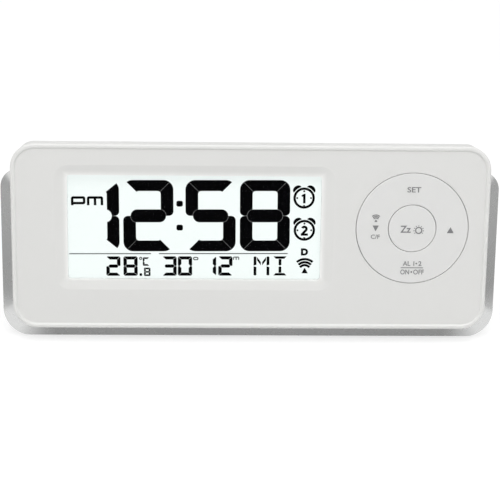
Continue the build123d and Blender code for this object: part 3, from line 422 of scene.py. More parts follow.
class Graph:
    """The node tree of a material or a world, with short ways to add and join nodes."""

    def __init__(self, name: str, world: bool = False) -> None:
        """Makes an empty material or world.

        Args:
            name: Its name.
            world: True for a world.
        """
        self.output = "ShaderNodeOutputWorld" if world else "ShaderNodeOutputMaterial"
        self.result = (bpy.data.worlds if world else bpy.data.materials).new(name)
        self.result.use_nodes = True
        self.tree = self.result.node_tree
        self.tree.nodes.clear()

    def fill(self, socket: Socket, value: Any) -> None:
        """Sets a socket, or joins another node's socket to it.

        Args:
            socket: The socket to fill.
            value: A value or an output socket.
        """
        if isinstance(value, Socket):
            self.tree.links.new(value, socket)
        else:
            socket.default_value = value

    def node(self, kind: str, values: dict[Any, Any] | None = None, **settings: Any) -> bpy.types.Node:
        """Adds a node.

        Args:
            kind: The node's type.
            values: Sockets by name or number, each with a value or another node's socket.
            settings: The node's own properties.

        Returns:
            The node.
        """
        made = self.tree.nodes.new(kind)
        for name, value in settings.items():
            setattr(made, name, value)
        for name, value in (values or {}).items():
            self.fill(made.inputs[name], value)
        return made

    def place(self) -> Socket:
        """Adds the object's own coordinates, in metres."""
        return self.node("ShaderNodeTexCoord").outputs["Object"]

    def along(self, place: Socket, axis: str) -> Socket:
        """Adds one coordinate of a place."""
        return self.node("ShaderNodeSeparateXYZ", {"Vector": place}).outputs[axis]

    def noise(self, size: float, detail: float = 2.0, place: Socket | None = None) -> Socket:
        """Adds noise from 0 to 1 with cells of a size and a number of finer layers."""
        values = {"Vector": place or self.place(), "Scale": 1 / (size * MM), "Detail": detail}
        return self.node("ShaderNodeTexNoise", values).outputs["Fac"]

    def math(self, kind: str, a: Any, b: Any = 0.0) -> Socket:
        """Adds an operation on two values, at least one of them a socket."""
        return self.node("ShaderNodeMath", {0: a, 1: b}, operation=kind).outputs[0]

    def spread(self, pattern: Socket, low: float, high: float, start: float = 0.3,
               end: float = 0.7) -> Socket:
        """Stretches a pattern, so that it runs from low to high between its start and its end."""
        values = {"Value": pattern, "From Min": start, "From Max": end, "To Min": low, "To Max": high}
        return self.node("ShaderNodeMapRange", values).outputs["Result"]

    def mix(self, share: Socket, a: Any, b: Any) -> Socket:
        """Mixes two numbers by the share of the second."""
        return self.node("ShaderNodeMix", {0: share, 2: a, 3: b}).outputs[0]

    def blend(self, share: Socket, a: Any, b: Any) -> Socket:
        """Mixes two colours by the share of the second."""
        return self.node("ShaderNodeMix", {6: a, 7: b, 0: share}, data_type="RGBA").outputs[2]

    def bump(self, pattern: Socket, depth: float) -> Socket:
        """Raises the surface by a pattern from 0 to 1, and gives the normal."""
        values = {"Height": pattern, "Distance": depth * MM}
        return self.node("ShaderNodeBump", values).outputs["Normal"]

    def end(self, shader: bpy.types.Node) -> Any:
        """Joins the last shader to the output, and gives the material or world."""
        self.node(self.output, {"Surface": shader.outputs[0]})
        return self.result


def paint(colour: Colour, share: float = 1.0) -> tuple[float, ...]:
    """Colour for a socket, made lighter or darker by a share, with no channel over 1."""
    return (*(min(1.0, channel * share) for channel in colour), 1.0)


@dataclass(frozen=True)
class Finish:
    """A surface: its colour, its shine and the fine pattern that breaks them up."""

    name: str
    colour: Colour  # base colour, linear
    roughness: float  # middle roughness
    metallic: float = 0.0  # share of metal
    grain: Grain = Grain.MOULDED  # kind of fine pattern
    grain_size: float = 0.4  # size of the pattern's cells
    grain_depth: float = 0.003  # height of the pattern
    mottle: float = 0.02  # share by which the colour wanders
    patch: float = 12.0  # size of the patches in which it wanders
    spread: float = 0.05  # range of the roughness to either side
    shine: float = 0.5  # strength of the mirror-like share, 0.5 for plain plastic
    bleed: float = 0.0  # share of the light that wanders under the skin before it comes out
    bleed_depth: float = 0.8  # how far that light wanders
    alpha: float = 1.0  # share of the light that it doesn't let through

    BRUSHED_SCALE = (0.06, 1.0, 1.0)  # brushed lines run along X
    BRUSHED_DETAIL = 3.0  # finer layers of those lines
    WEAVE_WAVES = 0.5  # waves of the weave to one cell
    WEAVE_WAVER = 0.4  # how far they stray
    SMEARS = 3.0  # smears of the shine to one patch of colour

    @property
    def label(self) -> str:
        """The material's name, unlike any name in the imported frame."""
        return f"{self.name}_finish"

    def pattern(self, graph: Graph) -> Socket:
        """Adds the fine pattern.

        Args:
            graph: The material's tree.

        Returns:
            The pattern's value, from 0 to 1.
        """
        place = graph.place()
        cells = 1 / (self.grain_size * MM)
        if self.grain is Grain.FLAKE:
            values = {"Vector": place, "Scale": cells}
            return graph.node("ShaderNodeTexVoronoi", values).outputs["Distance"]
        if self.grain is Grain.BRUSHED:
            values = {"Vector": place, "Scale": self.BRUSHED_SCALE}
            drawn = graph.node("ShaderNodeMapping", values).outputs["Vector"]
            return graph.noise(self.grain_size, self.BRUSHED_DETAIL, drawn)
        if self.grain is Grain.WOVEN:
            values = {"Vector": place, "Scale": self.WEAVE_WAVES * cells, "Distortion": self.WEAVE_WAVER}
            warp, weft = (graph.node("ShaderNodeTexWave", values, bands_direction=way).outputs["Fac"]
                          for way in "XZ")
            return graph.math("MULTIPLY", warp, weft)
        return graph.noise(self.grain_size)

    def colouring(self, graph: Graph) -> Any:
        """Works out the colour, wandering in soft patches unless it is plain.

        Args:
            graph: The material's tree.

        Returns:
            The colour or its socket.
        """
        if not self.mottle:
            return paint(self.colour)
        wander = graph.noise(self.patch)
        if self.grain is not Grain.MOULDED:
            wander = graph.math("MULTIPLY", graph.math("ADD", wander, self.pattern(graph)), 0.5)
        dark, light = (paint(self.colour, 1 + way * self.mottle) for way in (-1, 1))
        return graph.blend(wander, dark, light)

    def sockets(self, graph: Graph) -> dict[str, Any]:
        """Works out what goes into the shader's sockets.

        Args:
            graph: The material's tree.

        Returns:
            Values and sockets by the shader's socket names.
        """
        smear = graph.noise(self.patch / self.SMEARS)
        values = {
            "Base Color": self.colouring(graph),
            "Metallic": self.metallic,
            "Roughness": graph.spread(smear, self.roughness - self.spread, self.roughness + self.spread),
            "Specular IOR Level": self.shine,
            "Subsurface Weight": self.bleed,
            "Subsurface Radius": (1.0, 1.0, 1.0),
            "Subsurface Scale": self.bleed_depth * MM,
            "Alpha": self.alpha,
        }
        if self.grain_depth:
            values["Normal"] = graph.bump(self.pattern(graph), self.grain_depth)
        return values

    def material(self) -> bpy.types.Material:
        """Makes the material, or finds it if it was made before.

        Returns:
            The material.
        """
        made = bpy.data.materials.get(self.label)
        if made is None:
            graph = Graph(self.label)
            made = graph.end(graph.node("ShaderNodeBsdfPrincipled", self.sockets(graph)))
        return made

    def wear(self, node: str) -> None:
        """Puts the finish on a CAD node's material slots.

        Args:
            node: The node's name.
        """
        for slot in frame["nodes"][node].material_slots:
            slot.material = self.material()
        LOG.info("%s wears %s", node, self.name)


@dataclass(frozen=True)
class LitPanel(Finish):
    """The display's ground, lit from behind and faintly clouded."""

    body: float = 0.42  # share of the colour that the panel shows without its own light
    glow: float = 0.83  # strength of the light from behind

    def sockets(self, graph: Graph) -> dict[str, Any]:
        """Works out a clouded colour and an even light.

        Args:
            graph: The material's tree.

        Returns:
            Values and sockets by the shader's socket names.
        """
        cloud = graph.noise(self.patch)
        dark, light = (paint(self.colour, self.body * (1 + way * self.mottle)) for way in (-1, 1))
        return {
            "Base Color": graph.blend(cloud, dark, light),
            "Roughness": graph.spread(cloud, self.roughness - self.spread, self.roughness + self.spread),
            "Emission Color": paint(self.colour),
            "Emission Strength": self.glow,
        }


@dataclass(frozen=True)
class HaloCase(Finish):
    """White case plastic with painted light: its colour is lightened where the display's light would
    spill over its window's edge.
    """

    middle: Placement | None = None  # frame at the middle of the light
    size: tuple[float, float] = (0.0, 0.0)  # width and height of the light
    halo: float = 1.6  # how far the painted light reaches
    fade: float = 1.6  # power by which it falls off
    lift: float = 1.2  # painted colour at the light's edge, as a share of the base colour

    def inset(self, graph: Graph) -> Socket:
        """Adds the distance in from the light's nearest edge, below zero outside it.

        Along each axis it is half the light's size less the distance from its middle.

        Args:
            graph: The material's tree.

        Returns:
            The distance, in metres.
        """
        insets = []
        for axis, size in zip(self.middle.axes, self.size):
            values = {0: graph.place(), 1: tuple(axis)}
            along = graph.node("ShaderNodeVectorMath", values, operation="DOT_PRODUCT").outputs["Value"]
            off = graph.math("SUBTRACT", along, float(np.dot(self.middle.origin, axis)))
            insets.append(graph.math("SUBTRACT", size / 2 * MM, graph.math("ABSOLUTE", off)))
        return graph.math("MINIMUM", *insets)

    def colouring(self, graph: Graph) -> Any:
        """Adds the colour, with painted light near the window.

        Args:
            graph: The material's tree.

        Returns:
            The colour.
        """
        plain = super().colouring(graph)
        # painted light: the case colour is lifted towards the window's edge, standing in for the
        # display's glow
        near = graph.spread(self.inset(graph), 0.0, 1.0, -self.halo * MM, 0.0)
        return graph.blend(graph.math("POWER", near, self.fade), plain, paint(self.colour, self.lift))


@dataclass(frozen=True)
class BandedJacket(Finish):
    """A cell's printed jacket: a pale band at one end of a coloured sleeve."""

    band: Colour = (0.50, 0.51, 0.52)  # colour of the band
    start: float = -40.0  # where the band begins along X
    end: float = -8.0  # where the band ends along X

    def colouring(self, graph: Graph) -> Any:
        """Adds the two colours, split along X.

        Args:
            graph: The material's tree.

        Returns:
            The colour.
        """
        along = graph.along(graph.place(), "X")
        past = graph.math("GREATER_THAN", along, self.start * MM)
        short = graph.math("LESS_THAN", along, self.end * MM)
        return graph.blend(graph.math("MULTIPLY", past, short), paint(self.colour), paint(self.band))


INK_BLACK = Finish("display_ink", (0.0015, 0.0015, 0.002), 0.7, mottle=0.2, grain_depth=0.0, shine=0.0)
INK_GREY = replace(INK_BLACK, name="display_gap_ink", colour=(0.17, 0.175, 0.175), mottle=0.1)
INK_RULE = replace(INK_GREY, name="display_rule_ink", colour=(0.09, 0.10, 0.10))
LEGEND = Finish("legend_print", (0.22, 0.22, 0.225), 0.5, mottle=0.08, patch=1.5, grain_depth=0.001)
KEYS = Finish("white_keys", (0.80, 0.80, 0.79), 0.40, mottle=0.008, patch=18.0, grain_size=0.3,
              grain_depth=0.0015, bleed=0.6)
WHITE_CASE = HaloCase("white_case", (0.80, 0.80, 0.785), 0.42, mottle=0.008, patch=25.0,
                      grain_size=0.35, grain_depth=0.0015, bleed=0.6)
SILVER = Finish("silver_paint", (0.72, 0.725, 0.72), 0.27, 0.92, Grain.FLAKE, grain_size=0.12,
                grain_depth=0.0004, mottle=0.04, patch=20.0, spread=0.03)
CLEAR = Finish("window_cover", (0.02, 0.02, 0.02), 0.065, mottle=0.0, grain_depth=0.0, patch=30.0,
               spread=0.015, shine=0.01, alpha=0.04)
LIT_GROUND = LitPanel("lit_ground", (0.84, 0.90, 0.885), 0.35, patch=14.0)
RUBBER = Finish("foot_rubber", (0.045, 0.045, 0.047), 0.8, grain_size=0.25, grain_depth=0.01, mottle=0.12)
STEEL = Finish("plated_steel", (0.60, 0.60, 0.59), 0.3, 1.0, Grain.BRUSHED, grain_size=0.12,
               grain_depth=0.002, mottle=0.08, patch=4.0)
NICKEL = replace(STEEL, name="nickel_sheet", colour=(0.66, 0.63, 0.58), roughness=0.26, grain_size=0.15,
                 patch=5.0)
BRASS = replace(NICKEL, name="brass_sheet", colour=(0.72, 0.50, 0.20), roughness=0.3, mottle=0.1)
COPPER = replace(STEEL, name="enamelled_copper", colour=(0.62, 0.26, 0.10), roughness=0.32, metallic=0.9,
                 grain_size=0.1, grain_depth=0.004, mottle=0.12, patch=3.0)
GLASS = Finish("display_glass", (0.55, 0.60, 0.58), 0.08, mottle=0.03, grain_depth=0.0005, spread=0.03)
FILM = Finish("polariser_film", (0.30, 0.32, 0.31), 0.25, mottle=0.03, grain_depth=0.0005)
GUIDE = Finish("light_guide", (0.80, 0.84, 0.84), 0.12, mottle=0.03, grain_size=0.8, spread=0.04)
INNER_WHITE = Finish("inner_white", (0.74, 0.74, 0.72), 0.5, mottle=0.03, grain_size=0.5)
INNER_GREY = Finish("inner_grey", (0.55, 0.56, 0.57), 0.5, mottle=0.04, grain_size=0.5)
INNER_BLACK = Finish("inner_black", (0.02, 0.02, 0.022), 0.45, mottle=0.1)
RESIN = Finish("chip_resin", (0.018, 0.018, 0.02), 0.55, mottle=0.15, grain_size=0.2, grain_depth=0.006)
LED = Finish("led_resin", (0.85, 0.80, 0.45), 0.2, mottle=0.05, patch=1.0)
ZEBRA = Finish("zebra_rubber", (0.16, 0.16, 0.17), 0.6, grain=Grain.WOVEN, grain_size=0.18,
               grain_depth=0.01, mottle=0.6, patch=3.0)
LAMINATE = Finish("board_laminate", (0.03, 0.17, 0.07), 0.35, grain=Grain.WOVEN, grain_size=0.5,
                  grain_depth=0.006, mottle=0.25, patch=6.0)
SILICONE = Finish("keypad_silicone", (0.70, 0.72, 0.73), 0.6, mottle=0.05)
CARBON = Finish("carbon_pill", (0.012, 0.012, 0.013), 0.85, mottle=0.2, grain_size=0.2, grain_depth=0.01)
SLEEVE = Finish("capacitor_sleeve", (0.02, 0.03, 0.10), 0.35, mottle=0.1, patch=2.0)
BEAD = Finish("thermistor_bead", (0.03, 0.03, 0.03), 0.3, mottle=0.1, patch=1.0)
FERRITE = Finish("ferrite", (0.055, 0.05, 0.048), 0.7, mottle=0.2, grain_size=0.25, grain_depth=0.012)
RED = Finish("lead_red", (0.50, 0.02, 0.015), 0.42, mottle=0.06, patch=3.0)
BLACK = Finish("lead_black", (0.015, 0.015, 0.016), 0.42, mottle=0.1, patch=3.0)
UPPER_CELL = BandedJacket("upper_cell_jacket", (0.05, 0.17, 0.27), 0.3, mottle=0.1)
LOWER_CELL = replace(UPPER_CELL, name="lower_cell_jacket", start=8.0, end=40.0)


@dataclass(frozen=True)
class CadFinishes:
    """Finishes of the CAD nodes that stay as they were imported."""

    table: tuple[tuple[Finish, tuple[str, ...]], ...] = (  # each finish with the nodes that wear it
        (SILVER, ("rear_shell", "battery_door")),
        (KEYS, ("ring_key", "centre_button")),
        (RUBBER, ("rubber_feet",)),
        (STEEL, ("case_screws", "board_screws", "quartz_crystal")),
        (GLASS, ("lcd_front_glass", "lcd_rear_glass")),
        (FILM, ("rear_polariser",)),
        (GUIDE, ("light_guide",)),
        (INNER_WHITE, ("reflector_film", "display_holder")),
        (LED, ("backlight_leds",)),
        (ZEBRA, ("zebra_strip",)),
        (INNER_GREY, ("rocker_gimbal", "key_carrier")),
        (INNER_BLACK, ("buzzer_case",)),
        (SILICONE, ("keypad_mat",)),
        (CARBON, ("contact_pills",)),
        (LAMINATE, ("main_board", "receiver_board")),
        (RESIN, ("controller_chip", "receiver_chip")),
        (SLEEVE, ("capacitors",)),
        (BEAD, ("thermistor",)),
        (FERRITE, ("ferrite_rod",)),
        (COPPER, ("antenna_coil", "antenna_leads")),
        (BRASS, ("piezo_disc",)),
        (NICKEL, ("positive_contact", "negative_contact", "bridge_contact", "battery_springs")),
        (UPPER_CELL, ("upper_cell",)),
        (LOWER_CELL, ("lower_cell",)),
        (RED, ("battery_lead_red",)),
        (BLACK, ("battery_lead_black", "buzzer_leads")),
    )

    def dress(self) -> None:
        """Puts each finish on its nodes."""
        for finish, nodes in self.table:
            for node in nodes:
                finish.wear(node)


@dataclass(frozen=True)
class SegmentDigit:
    """A digit of seven segments with mitred corners and a round-ended middle bar."""

    width: float = 15.05
    height: float = 21.8
    upright: float = 3.78  # width of the upright bars
    level: float = 3.3  # width of the top and bottom bars
    bar: float = 3.92  # height of the middle bar
    overlap: float = 1.55  # how far the middle bar reaches into the upright bars
    outer_r: float = 2.9  # radius of the outer corners
    inner_r: float = 0.8  # radius of the inner corners
    end_r: float = 1.4  # radius of the upright bars' outer corners at mid height
    gap: float = 0.16  # gap between segments
    mitre: float = 52.0  # where the mitre meets the outer corner, in degrees up from its side

    LIT = {"0": "abcdef", "1": "bc", "2": "abged", "3": "abgcd", "5": "afgcd", "8": "abcdefg",
           "C": "afed"}
    FLIPS = {"a": (1, 1), "d": (1, -1), "b": (1, 1), "c": (1, -1), "e": (-1, -1), "f": (-1, 1)}
    INNER_STEPS = 5  # points on half an inner corner
    MITRE_GAP = 0.7  # what each side of a mitre gives up, as a share of the gap
    FOOT = 0.01  # least height of an upright bar's foot over the middle
    END_FLAT = 1e-4  # what the middle bar's ends fall short of half circles

    def top(self) -> Points:
        """Outline of the top bar, between its two mitres.

        Returns:
            The outline.
        """
        a, b = self.width / 2, self.height / 2
        u, v = a - self.upright - self.inner_r, b - self.level - self.inner_r
        outline = np.concatenate([
            arc(-u, v, self.inner_r, 135, 90, self.INNER_STEPS),
            arc(u, v, self.inner_r, 90, 45, self.INNER_STEPS),
            arc(a - self.outer_r, b - self.outer_r, self.outer_r, self.mitre, 90),
            arc(self.outer_r - a, b - self.outer_r, self.outer_r, 90, 180 - self.mitre),
        ])
        outline[:, 0] -= np.sign(outline[:, 0]) * self.gap * self.MITRE_GAP
        return outline

    def side(self) -> Points:
        """Outline of the upper right bar, from its mitre to the middle bar's round end.

        The bar's lower end is cut by a circle round the middle bar's end, one gap wider.

        Returns:
            The outline.
        """
        a, b = self.width / 2, self.height / 2
        inner = a - self.upright
        end = inner + self.overlap - self.bar / 2
        reach = self.bar / 2 + self.gap
        foot = self.gap / 2 + self.FOOT
        start = math.degrees(math.acos((inner - end) / reach))
        outer = arc(a - self.outer_r, b - self.outer_r, self.outer_r, 0, self.mitre)
        corner_v = b - self.level - self.inner_r
        corner = arc(inner - self.inner_r, corner_v, self.inner_r, 45, 0, self.INNER_STEPS)
        drop = np.array([0.0, self.gap * self.MITRE_GAP])
        return np.concatenate([
            arc(a - self.end_r, foot + self.end_r, self.end_r, 270, 360),
            outer - drop,
            corner - drop,
            arc(end, 0, reach, start, math.degrees(math.asin(foot / reach))),
        ])

    def middle(self) -> Points:
        """Outline of the middle bar."""
        width = self.width - 2 * self.upright + 2 * self.overlap
        return oblong(width, self.bar, self.bar / 2 - self.END_FLAT)

    def draw(self, ink: Shape, figure: str, u: float, v: float) -> None:
        """Adds a figure's lit segments to a shape.

        Args:
            ink: The shape.
            figure: The figure.
            u: Middle of the digit to the right.
            v: Middle of the digit upwards.
        """
        place = np.array([u, v])
        for segment in self.LIT[figure]:
            if segment == "g":
                ink.plate(self.middle() + place)
            else:
                outline = self.top() if segment in "ad" else self.side()
                ink.plate(outline * np.array(self.FLIPS[segment]) + place)


@dataclass(frozen=True)
class DayLetters:
    """The day's letters, an M and an I of bars."""

    v: float  # middle of the letters upwards
    m_posts: tuple[float, float] = (18.27, 22.2)  # middles of the M's two posts
    i_post: float = 25.84  # middle of the I's post
    half: float = 2.97  # half the letters' height
    bar: float = 0.84  # width of a post
    gap: float = 0.12  # half the gap between an upper and a lower post
    cut: float = 0.25  # rise of the cut foot of the M's posts
    point: float = 0.15  # height of the pointed end of the M's posts
    serif: tuple[float, float] = (1.94, 1.3)  # half widths of the I's top and bottom bars
    serif_height: float = 0.72  # height of those bars
    i_top: float = 0.85  # distance from the I's post to its end
    i_point: float = 0.2  # height of the pointed foot of the I's post

    SLANT = ((1.35, 2.75), (1.35, 1.75), (0.2, 0.2), (0.2, 1.2))  # from the M's middle

    def pair(self, ink: Shape, outline: Outline, u: float, *flips: tuple[int, int]) -> None:
        """Adds a bar once for each pair of signs by which it is flipped about the letter's middle."""
        for flip in flips:
            ink.plate(np.array(outline) * np.array(flip) + np.array([u, self.v]))

    def draw(self, ink: Shape) -> None:
        """Adds the letters to a shape.

        Args:
            ink: The shape.
        """
        down, up, left = (1, -1), (1, 1), (-1, 1)
        half, bar, gap = self.half, self.bar / 2, self.gap
        shoulder = half - self.point
        post = [(-bar, gap), (bar, gap + self.cut), (bar, shoulder), (0.0, half), (-bar, shoulder)]
        for u in self.m_posts:
            self.pair(ink, post, u, down, up)
        self.pair(ink, self.SLANT, sum(self.m_posts) / 2, left, up)
        (wide, narrow), under = self.serif, half - self.serif_height
        serif = [(-wide, half), (wide, half), (narrow, under), (-narrow, under)]
        self.pair(ink, serif, self.i_post, down, up)
        top, foot = half - self.i_top, gap + self.i_point
        post = [(-bar, top), (bar, top), (bar, foot), (0.0, gap), (-bar, foot)]
        self.pair(ink, post, self.i_post, down, up)


@dataclass(frozen=True)
class AlarmSign:
    """An alarm sign: a ringed figure with ticks and two bells."""

    figure: str  # the alarm's number
    u: float  # middle of the ring to the right
    v: float  # middle of the ring upwards
    ring: float = 2.86  # radius of the ring
    stroke: float = 0.72  # width of the ring
    tick: float = 0.28  # radius of the round ticks
    tick_in: float = 0.78  # how far the ticks' middles lie inside the ring
    seat: float = 3.45  # radius of the circle that the bells sit on
    rise: float = 1.0  # height of the bells

    RING_STEPS = 72
    BELL_STEPS = 17
    BELLS = ((152.0, 104.0), (76.0, 28.0))  # first and last angle of each bell
    LOW_TICK = (2.15, 0.1, 0.58)  # top under the middle, overlap, width
    ONE = ((-0.85, 0.75), (-0.62, 0.36), (-0.3, 0.55), (-0.3, -1.6), (0.42, -1.6), (0.42, 1.32),
           (-0.05, 1.32))
    TWO_BOW = (0, 0.42, 0.64, 160, -30, 16)  # middle, radius, angles and steps
    TWO_HEEL = (-0.7, -1.25)
    TWO_BASE = ((-1.05, -1.32), (1.08, -1.32))
    TWO_STROKES = (0.72, 0.66)  # width of the bow and the base

    def draw(self, ink: Shape) -> None:
        """Adds the sign to a shape.

        A bell lies between a circle and a curve that rises from it by the root of a half sine.

        Args:
            ink: The shape.
        """
        place = np.array([self.u, self.v])
        ink.ribbon(circle(self.u, self.v, self.ring, self.RING_STEPS), self.stroke, True)
        for spot in arc(self.u, self.v, self.ring - self.tick_in, 0, 180, 3):
            ink.plate(circle(*spot, self.tick))
        top, overlap, width = self.LOW_TICK
        ink.ribbon(np.array([(0.0, -top), (0.0, overlap - self.ring)]) + place, width)
        t = np.linspace(0.0, 1.0, self.BELL_STEPS)
        for start, end in self.BELLS:
            angle = np.radians(start + (end - start) * t)
            spoke = np.stack([np.cos(angle), np.sin(angle)], axis=1)
            outer = spoke * (self.seat + self.rise * np.sqrt(np.sin(np.pi * t)))[:, None]
            ink.plate(np.concatenate([outer, spoke[-2:0:-1] * self.seat]) + place)
        if self.figure == "1":
            ink.plate(np.array(self.ONE) + place)
        else:
            bow = np.concatenate([arc(*self.TWO_BOW), [self.TWO_HEEL]])
            for path, width in zip((bow, np.array(self.TWO_BASE)), self.TWO_STROKES):
                ink.ribbon(path + place, width)


@dataclass(frozen=True)
class Mast:
    """The radio sign: a small mast below three arcs."""

    u: float  # middle of the mast to the right
    v: float  # foot of the mast
    size: float = 1.0  # size of the sign, 1 for one 4.9 wide
    stroke: float = 0.7  # width of the arcs at size 1

    ARCS = ((3.55, 42.0), (2.6, 46.0), (1.7, 55.0))  # radius and half angle
    ARC_STEPS = 24
    LIFT = 0.85  # middle of the arcs over the foot
    FOOT = ((-0.95, 0.0), (0.95, 0.0), (0.12, 1.55), (-0.12, 1.55))

    def draw(self, ink: Shape) -> None:
        """Adds the sign to a shape.

        Args:
            ink: The shape.
        """
        base = self.v + self.LIFT * self.size
        for radius, half in self.ARCS:
            path = arc(self.u, base, radius * self.size, 90 + half, 90 - half, self.ARC_STEPS)
            ink.ribbon(path, self.stroke * self.size)
        ink.plate(np.array(self.FOOT) * self.size + np.array([self.u, self.v]))


@dataclass(frozen=True)
class DisplayWindow:
    """The display: a clear cover, a lit ground and the printed segments and signs."""

    face: Placement
    u: float = -16.9  # middle of the window on the face
    v: float = 2.8  # middle of the window up the face
    width: float = 75.8
    height: float = 31.8
    fit: float = 0.1  # gap between the cover and the window's wall
    corner: float = 0.7  # radius of the cover's corners
    easing: float = 0.15  # easing of the cover's front edges
    flange: float = 2.0  # overlap of the cover behind the face
    cover_front: float = -1.15  # height of the cover's front
    flange_front: float = -2.42  # height of its flange's front
    cover_back: float = -3.0  # height of its back
    ground_front: float = -3.2  # height of the lit ground's front
    ground_back: float = -3.38  # height of its back
    ground_margin: float = 1.9  # overlap of the ground behind the face
    ground_corner: float = 0.5  # radius of the ground's corners
    ink: float = 0.08  # thickness of a segment over the ground
    under: float = 0.04  # thickness of the grey under the gaps between segments
    sink: float = 0.01  # how far the ink reaches into the ground
    turn: float = 0.36  # turn of the cell in its window, in degrees
    spill_short: float = 1.0  # how far above the window's lower edge the painted spilt light begins to fade
    time_v: float = 3.3  # middle of the time's figures upwards
    low_v: float = -12.2  # middle of the lower row's figures upwards
    rule_v: float = -8.35  # place of the thin rules over that row

    BIG = SegmentDigit()
    FIRST = SegmentDigit(upright=3.65, overlap=1.4, mitre=42.0)
    SMALL = SegmentDigit(
        width=4.28, height=6.0, upright=1.04, level=0.95, bar=1.0, overlap=0.32, outer_r=0.5,
        inner_r=0.14, end_r=0.3, gap=0.07, mitre=45.0)
    TINY = SegmentDigit(
        width=1.95, height=2.6, upright=0.54, level=0.5, bar=0.5, overlap=0.15, outer_r=0.22,
        inner_r=0.05, end_r=0.12, gap=0.05, mitre=45.0)
    # Figures with their middles, and for the time their kind of digit
    TIME = ((FIRST, "1", -30.06), (BIG, "2", -13.83), (BIG, "5", 4.84), (BIG, "8", 21.16))
    LOW = (("2", -24.5), ("8", -19.33), ("3", -7.58), ("0", -2.9), ("1", 4.38), ("2", 9.3))
    TENTHS = (("8", -14.32, -14.0), ("C", -14.66, -10.8))  # tenth of a degree and unit
    DOTS = (
        (1.94, 1.75, 0.55, -4.45, 7.02),
        (1.94, 1.75, 0.55, -4.45, -0.3),
        (0.76, 0.8, 0.2, -16.26, -14.85),
    )  # width, height, corner and middle of the colon's dots and of the point
    DEGREE = (-16.25, -9.81, 0.34, 0, 350, 15)  # middle, radius, angles and steps
    DEGREE_STROKE = 0.25
    P_PATH = ((-36.5, 6.55), (-36.5, 8.9), (-32.95, 8.9), (-32.95, 7.2), (-36.5, 7.2))
    M_MARK = ((-31.75, -29.7, -27.64), 6.55, 8.9)  # posts, foot and top
    PM_CORNER = 0.3
    PM_STROKE = 0.74
    MARKS = (AlarmSign("1", 32.87, 8.75), AlarmSign("2", 33.08, -1.15), Mast(33.34, -14.5))
    SUMMER = ("D", 33.22, -7.85, 2.15, 2.2, 0.065)  # letter, middle, width, height and weight
    RULES = ((-37.74, -13.15), (-10.74, 28.1))  # left and right end of each
    RULE_STROKE = 0.27
    DAY_MARK = (1.3, 0.72, 0.3, 0.34, -9.88)  # width, height, corner and middle
    MONTH_MARK = ((11.78, 12.55, 13.32), -10.27, -9.44)  # posts, foot and top
    MONTH_CORNER = 0.2
    MARK_STROKE = 0.3

    @property
    def window(self) -> Placement:
        """Frame at the window's middle."""
        return self.face.moved(self.u, self.v)

    @property
    def cell(self) -> Placement:
        """Frame at the window's middle, turned with the cell."""
        return self.face.moved(self.u, self.v, self.turn)

    def inked(self) -> Shape:
        """Starts a shape of ink on the lit ground."""
        return Shape(self.ground_front + self.ink, self.ground_front - self.sink)

    def case(self) -> None:
        """Dresses the white front, with the display's light painted into its colour at the window's edge.
        """
        middle = self.window.moved(0.0, self.spill_short / 2)
        size = (self.width, self.height - self.spill_short)
        replace(WHITE_CASE, middle=middle, size=size).wear("front_shell")

    def cover(self) -> None:
        """Builds the clear cover: a raised pane with eased edges on a thin flange."""
        width, height = self.width - 2 * self.fit, self.height - 2 * self.fit
        eased, pane, flange = (
            oblong(width + 2 * grow, height + 2 * grow, self.corner + min(grow, 0.0))
            for grow in (-self.easing, 0.0, self.flange))
        rim = self.cover_front - self.easing
        levels = [self.cover_front, rim, self.flange_front, self.flange_front, self.cover_back]
        shape = Shape()
        shape.stack([eased, pane, pane, flange, flange], levels)
        shape.piece("window_cover", self.window, CLEAR, Body.CASE, "clear_acrylic", "window_lens")

    def ground(self) -> None:
        """Builds the display's lit ground."""
        shape = Shape(self.ground_front, self.ground_back)
        grow = 2 * self.ground_margin
        shape.plate(oblong(self.width + grow, self.height + grow, self.ground_corner))
        shape.piece("display_ground", self.window, LIT_GROUND, Body.CASE, "polariser_film",
                    "front_polariser")

    def figures(self) -> None:
        """Builds the time, the temperature, the date and the day."""
        ink = self.inked()
        under = Shape(self.ground_front + self.under, ink.back)
        for digit, figure, u in self.TIME:
            digit.draw(ink, figure, u, self.time_v)
            replace(digit, gap=0.0).draw(under, figure, u, self.time_v)
        for figure, u in self.LOW:
            self.SMALL.draw(ink, figure, u, self.low_v)
        for figure, u, v in self.TENTHS:
            self.TINY.draw(ink, figure, u, v)
        for dot in self.DOTS:
            ink.plate(oblong(*dot))
        ink.ribbon(arc(*self.DEGREE), self.DEGREE_STROKE, True)
        DayLetters(self.low_v).draw(ink)
        ink.piece("display_segments", self.cell, INK_BLACK, Body.CASE, "black_inner_plastic")
        under.piece("display_segment_gaps", self.cell, INK_GREY, Body.CASE, "black_inner_plastic")

    def signs(self) -> None:
        """Builds the afternoon mark and the alarm, summer time and radio signs."""
        ink = self.inked()
        ink.ribbon(rounded(self.P_PATH, self.PM_CORNER, False), self.PM_STROKE)
        ink.letter_m(*self.M_MARK, self.PM_CORNER, self.PM_STROKE)
        for mark in self.MARKS:
            mark.draw(ink)
        ink.text(*self.SUMMER)
        ink.piece("display_signs", self.cell, INK_BLACK, Body.CASE, "black_inner_plastic")

    def rules(self) -> None:
        """Builds the thin rules and the small marks of the day and the month."""
        ink = self.inked()
        for start, end in self.RULES:
            ink.ribbon([(start, self.rule_v), (end, self.rule_v)], self.RULE_STROKE)
        ink.ribbon(oblong(*self.DAY_MARK), self.MARK_STROKE, True)
        ink.letter_m(*self.MONTH_MARK, self.MONTH_CORNER, self.MARK_STROKE)
        ink.piece("display_rules", self.cell, INK_RULE, Body.CASE, "black_inner_plastic")

    def dress(self) -> None:
        """Builds the whole display."""
        self.case()
        self.cover()
        self.ground()
        self.figures()
        self.signs()
        self.rules()


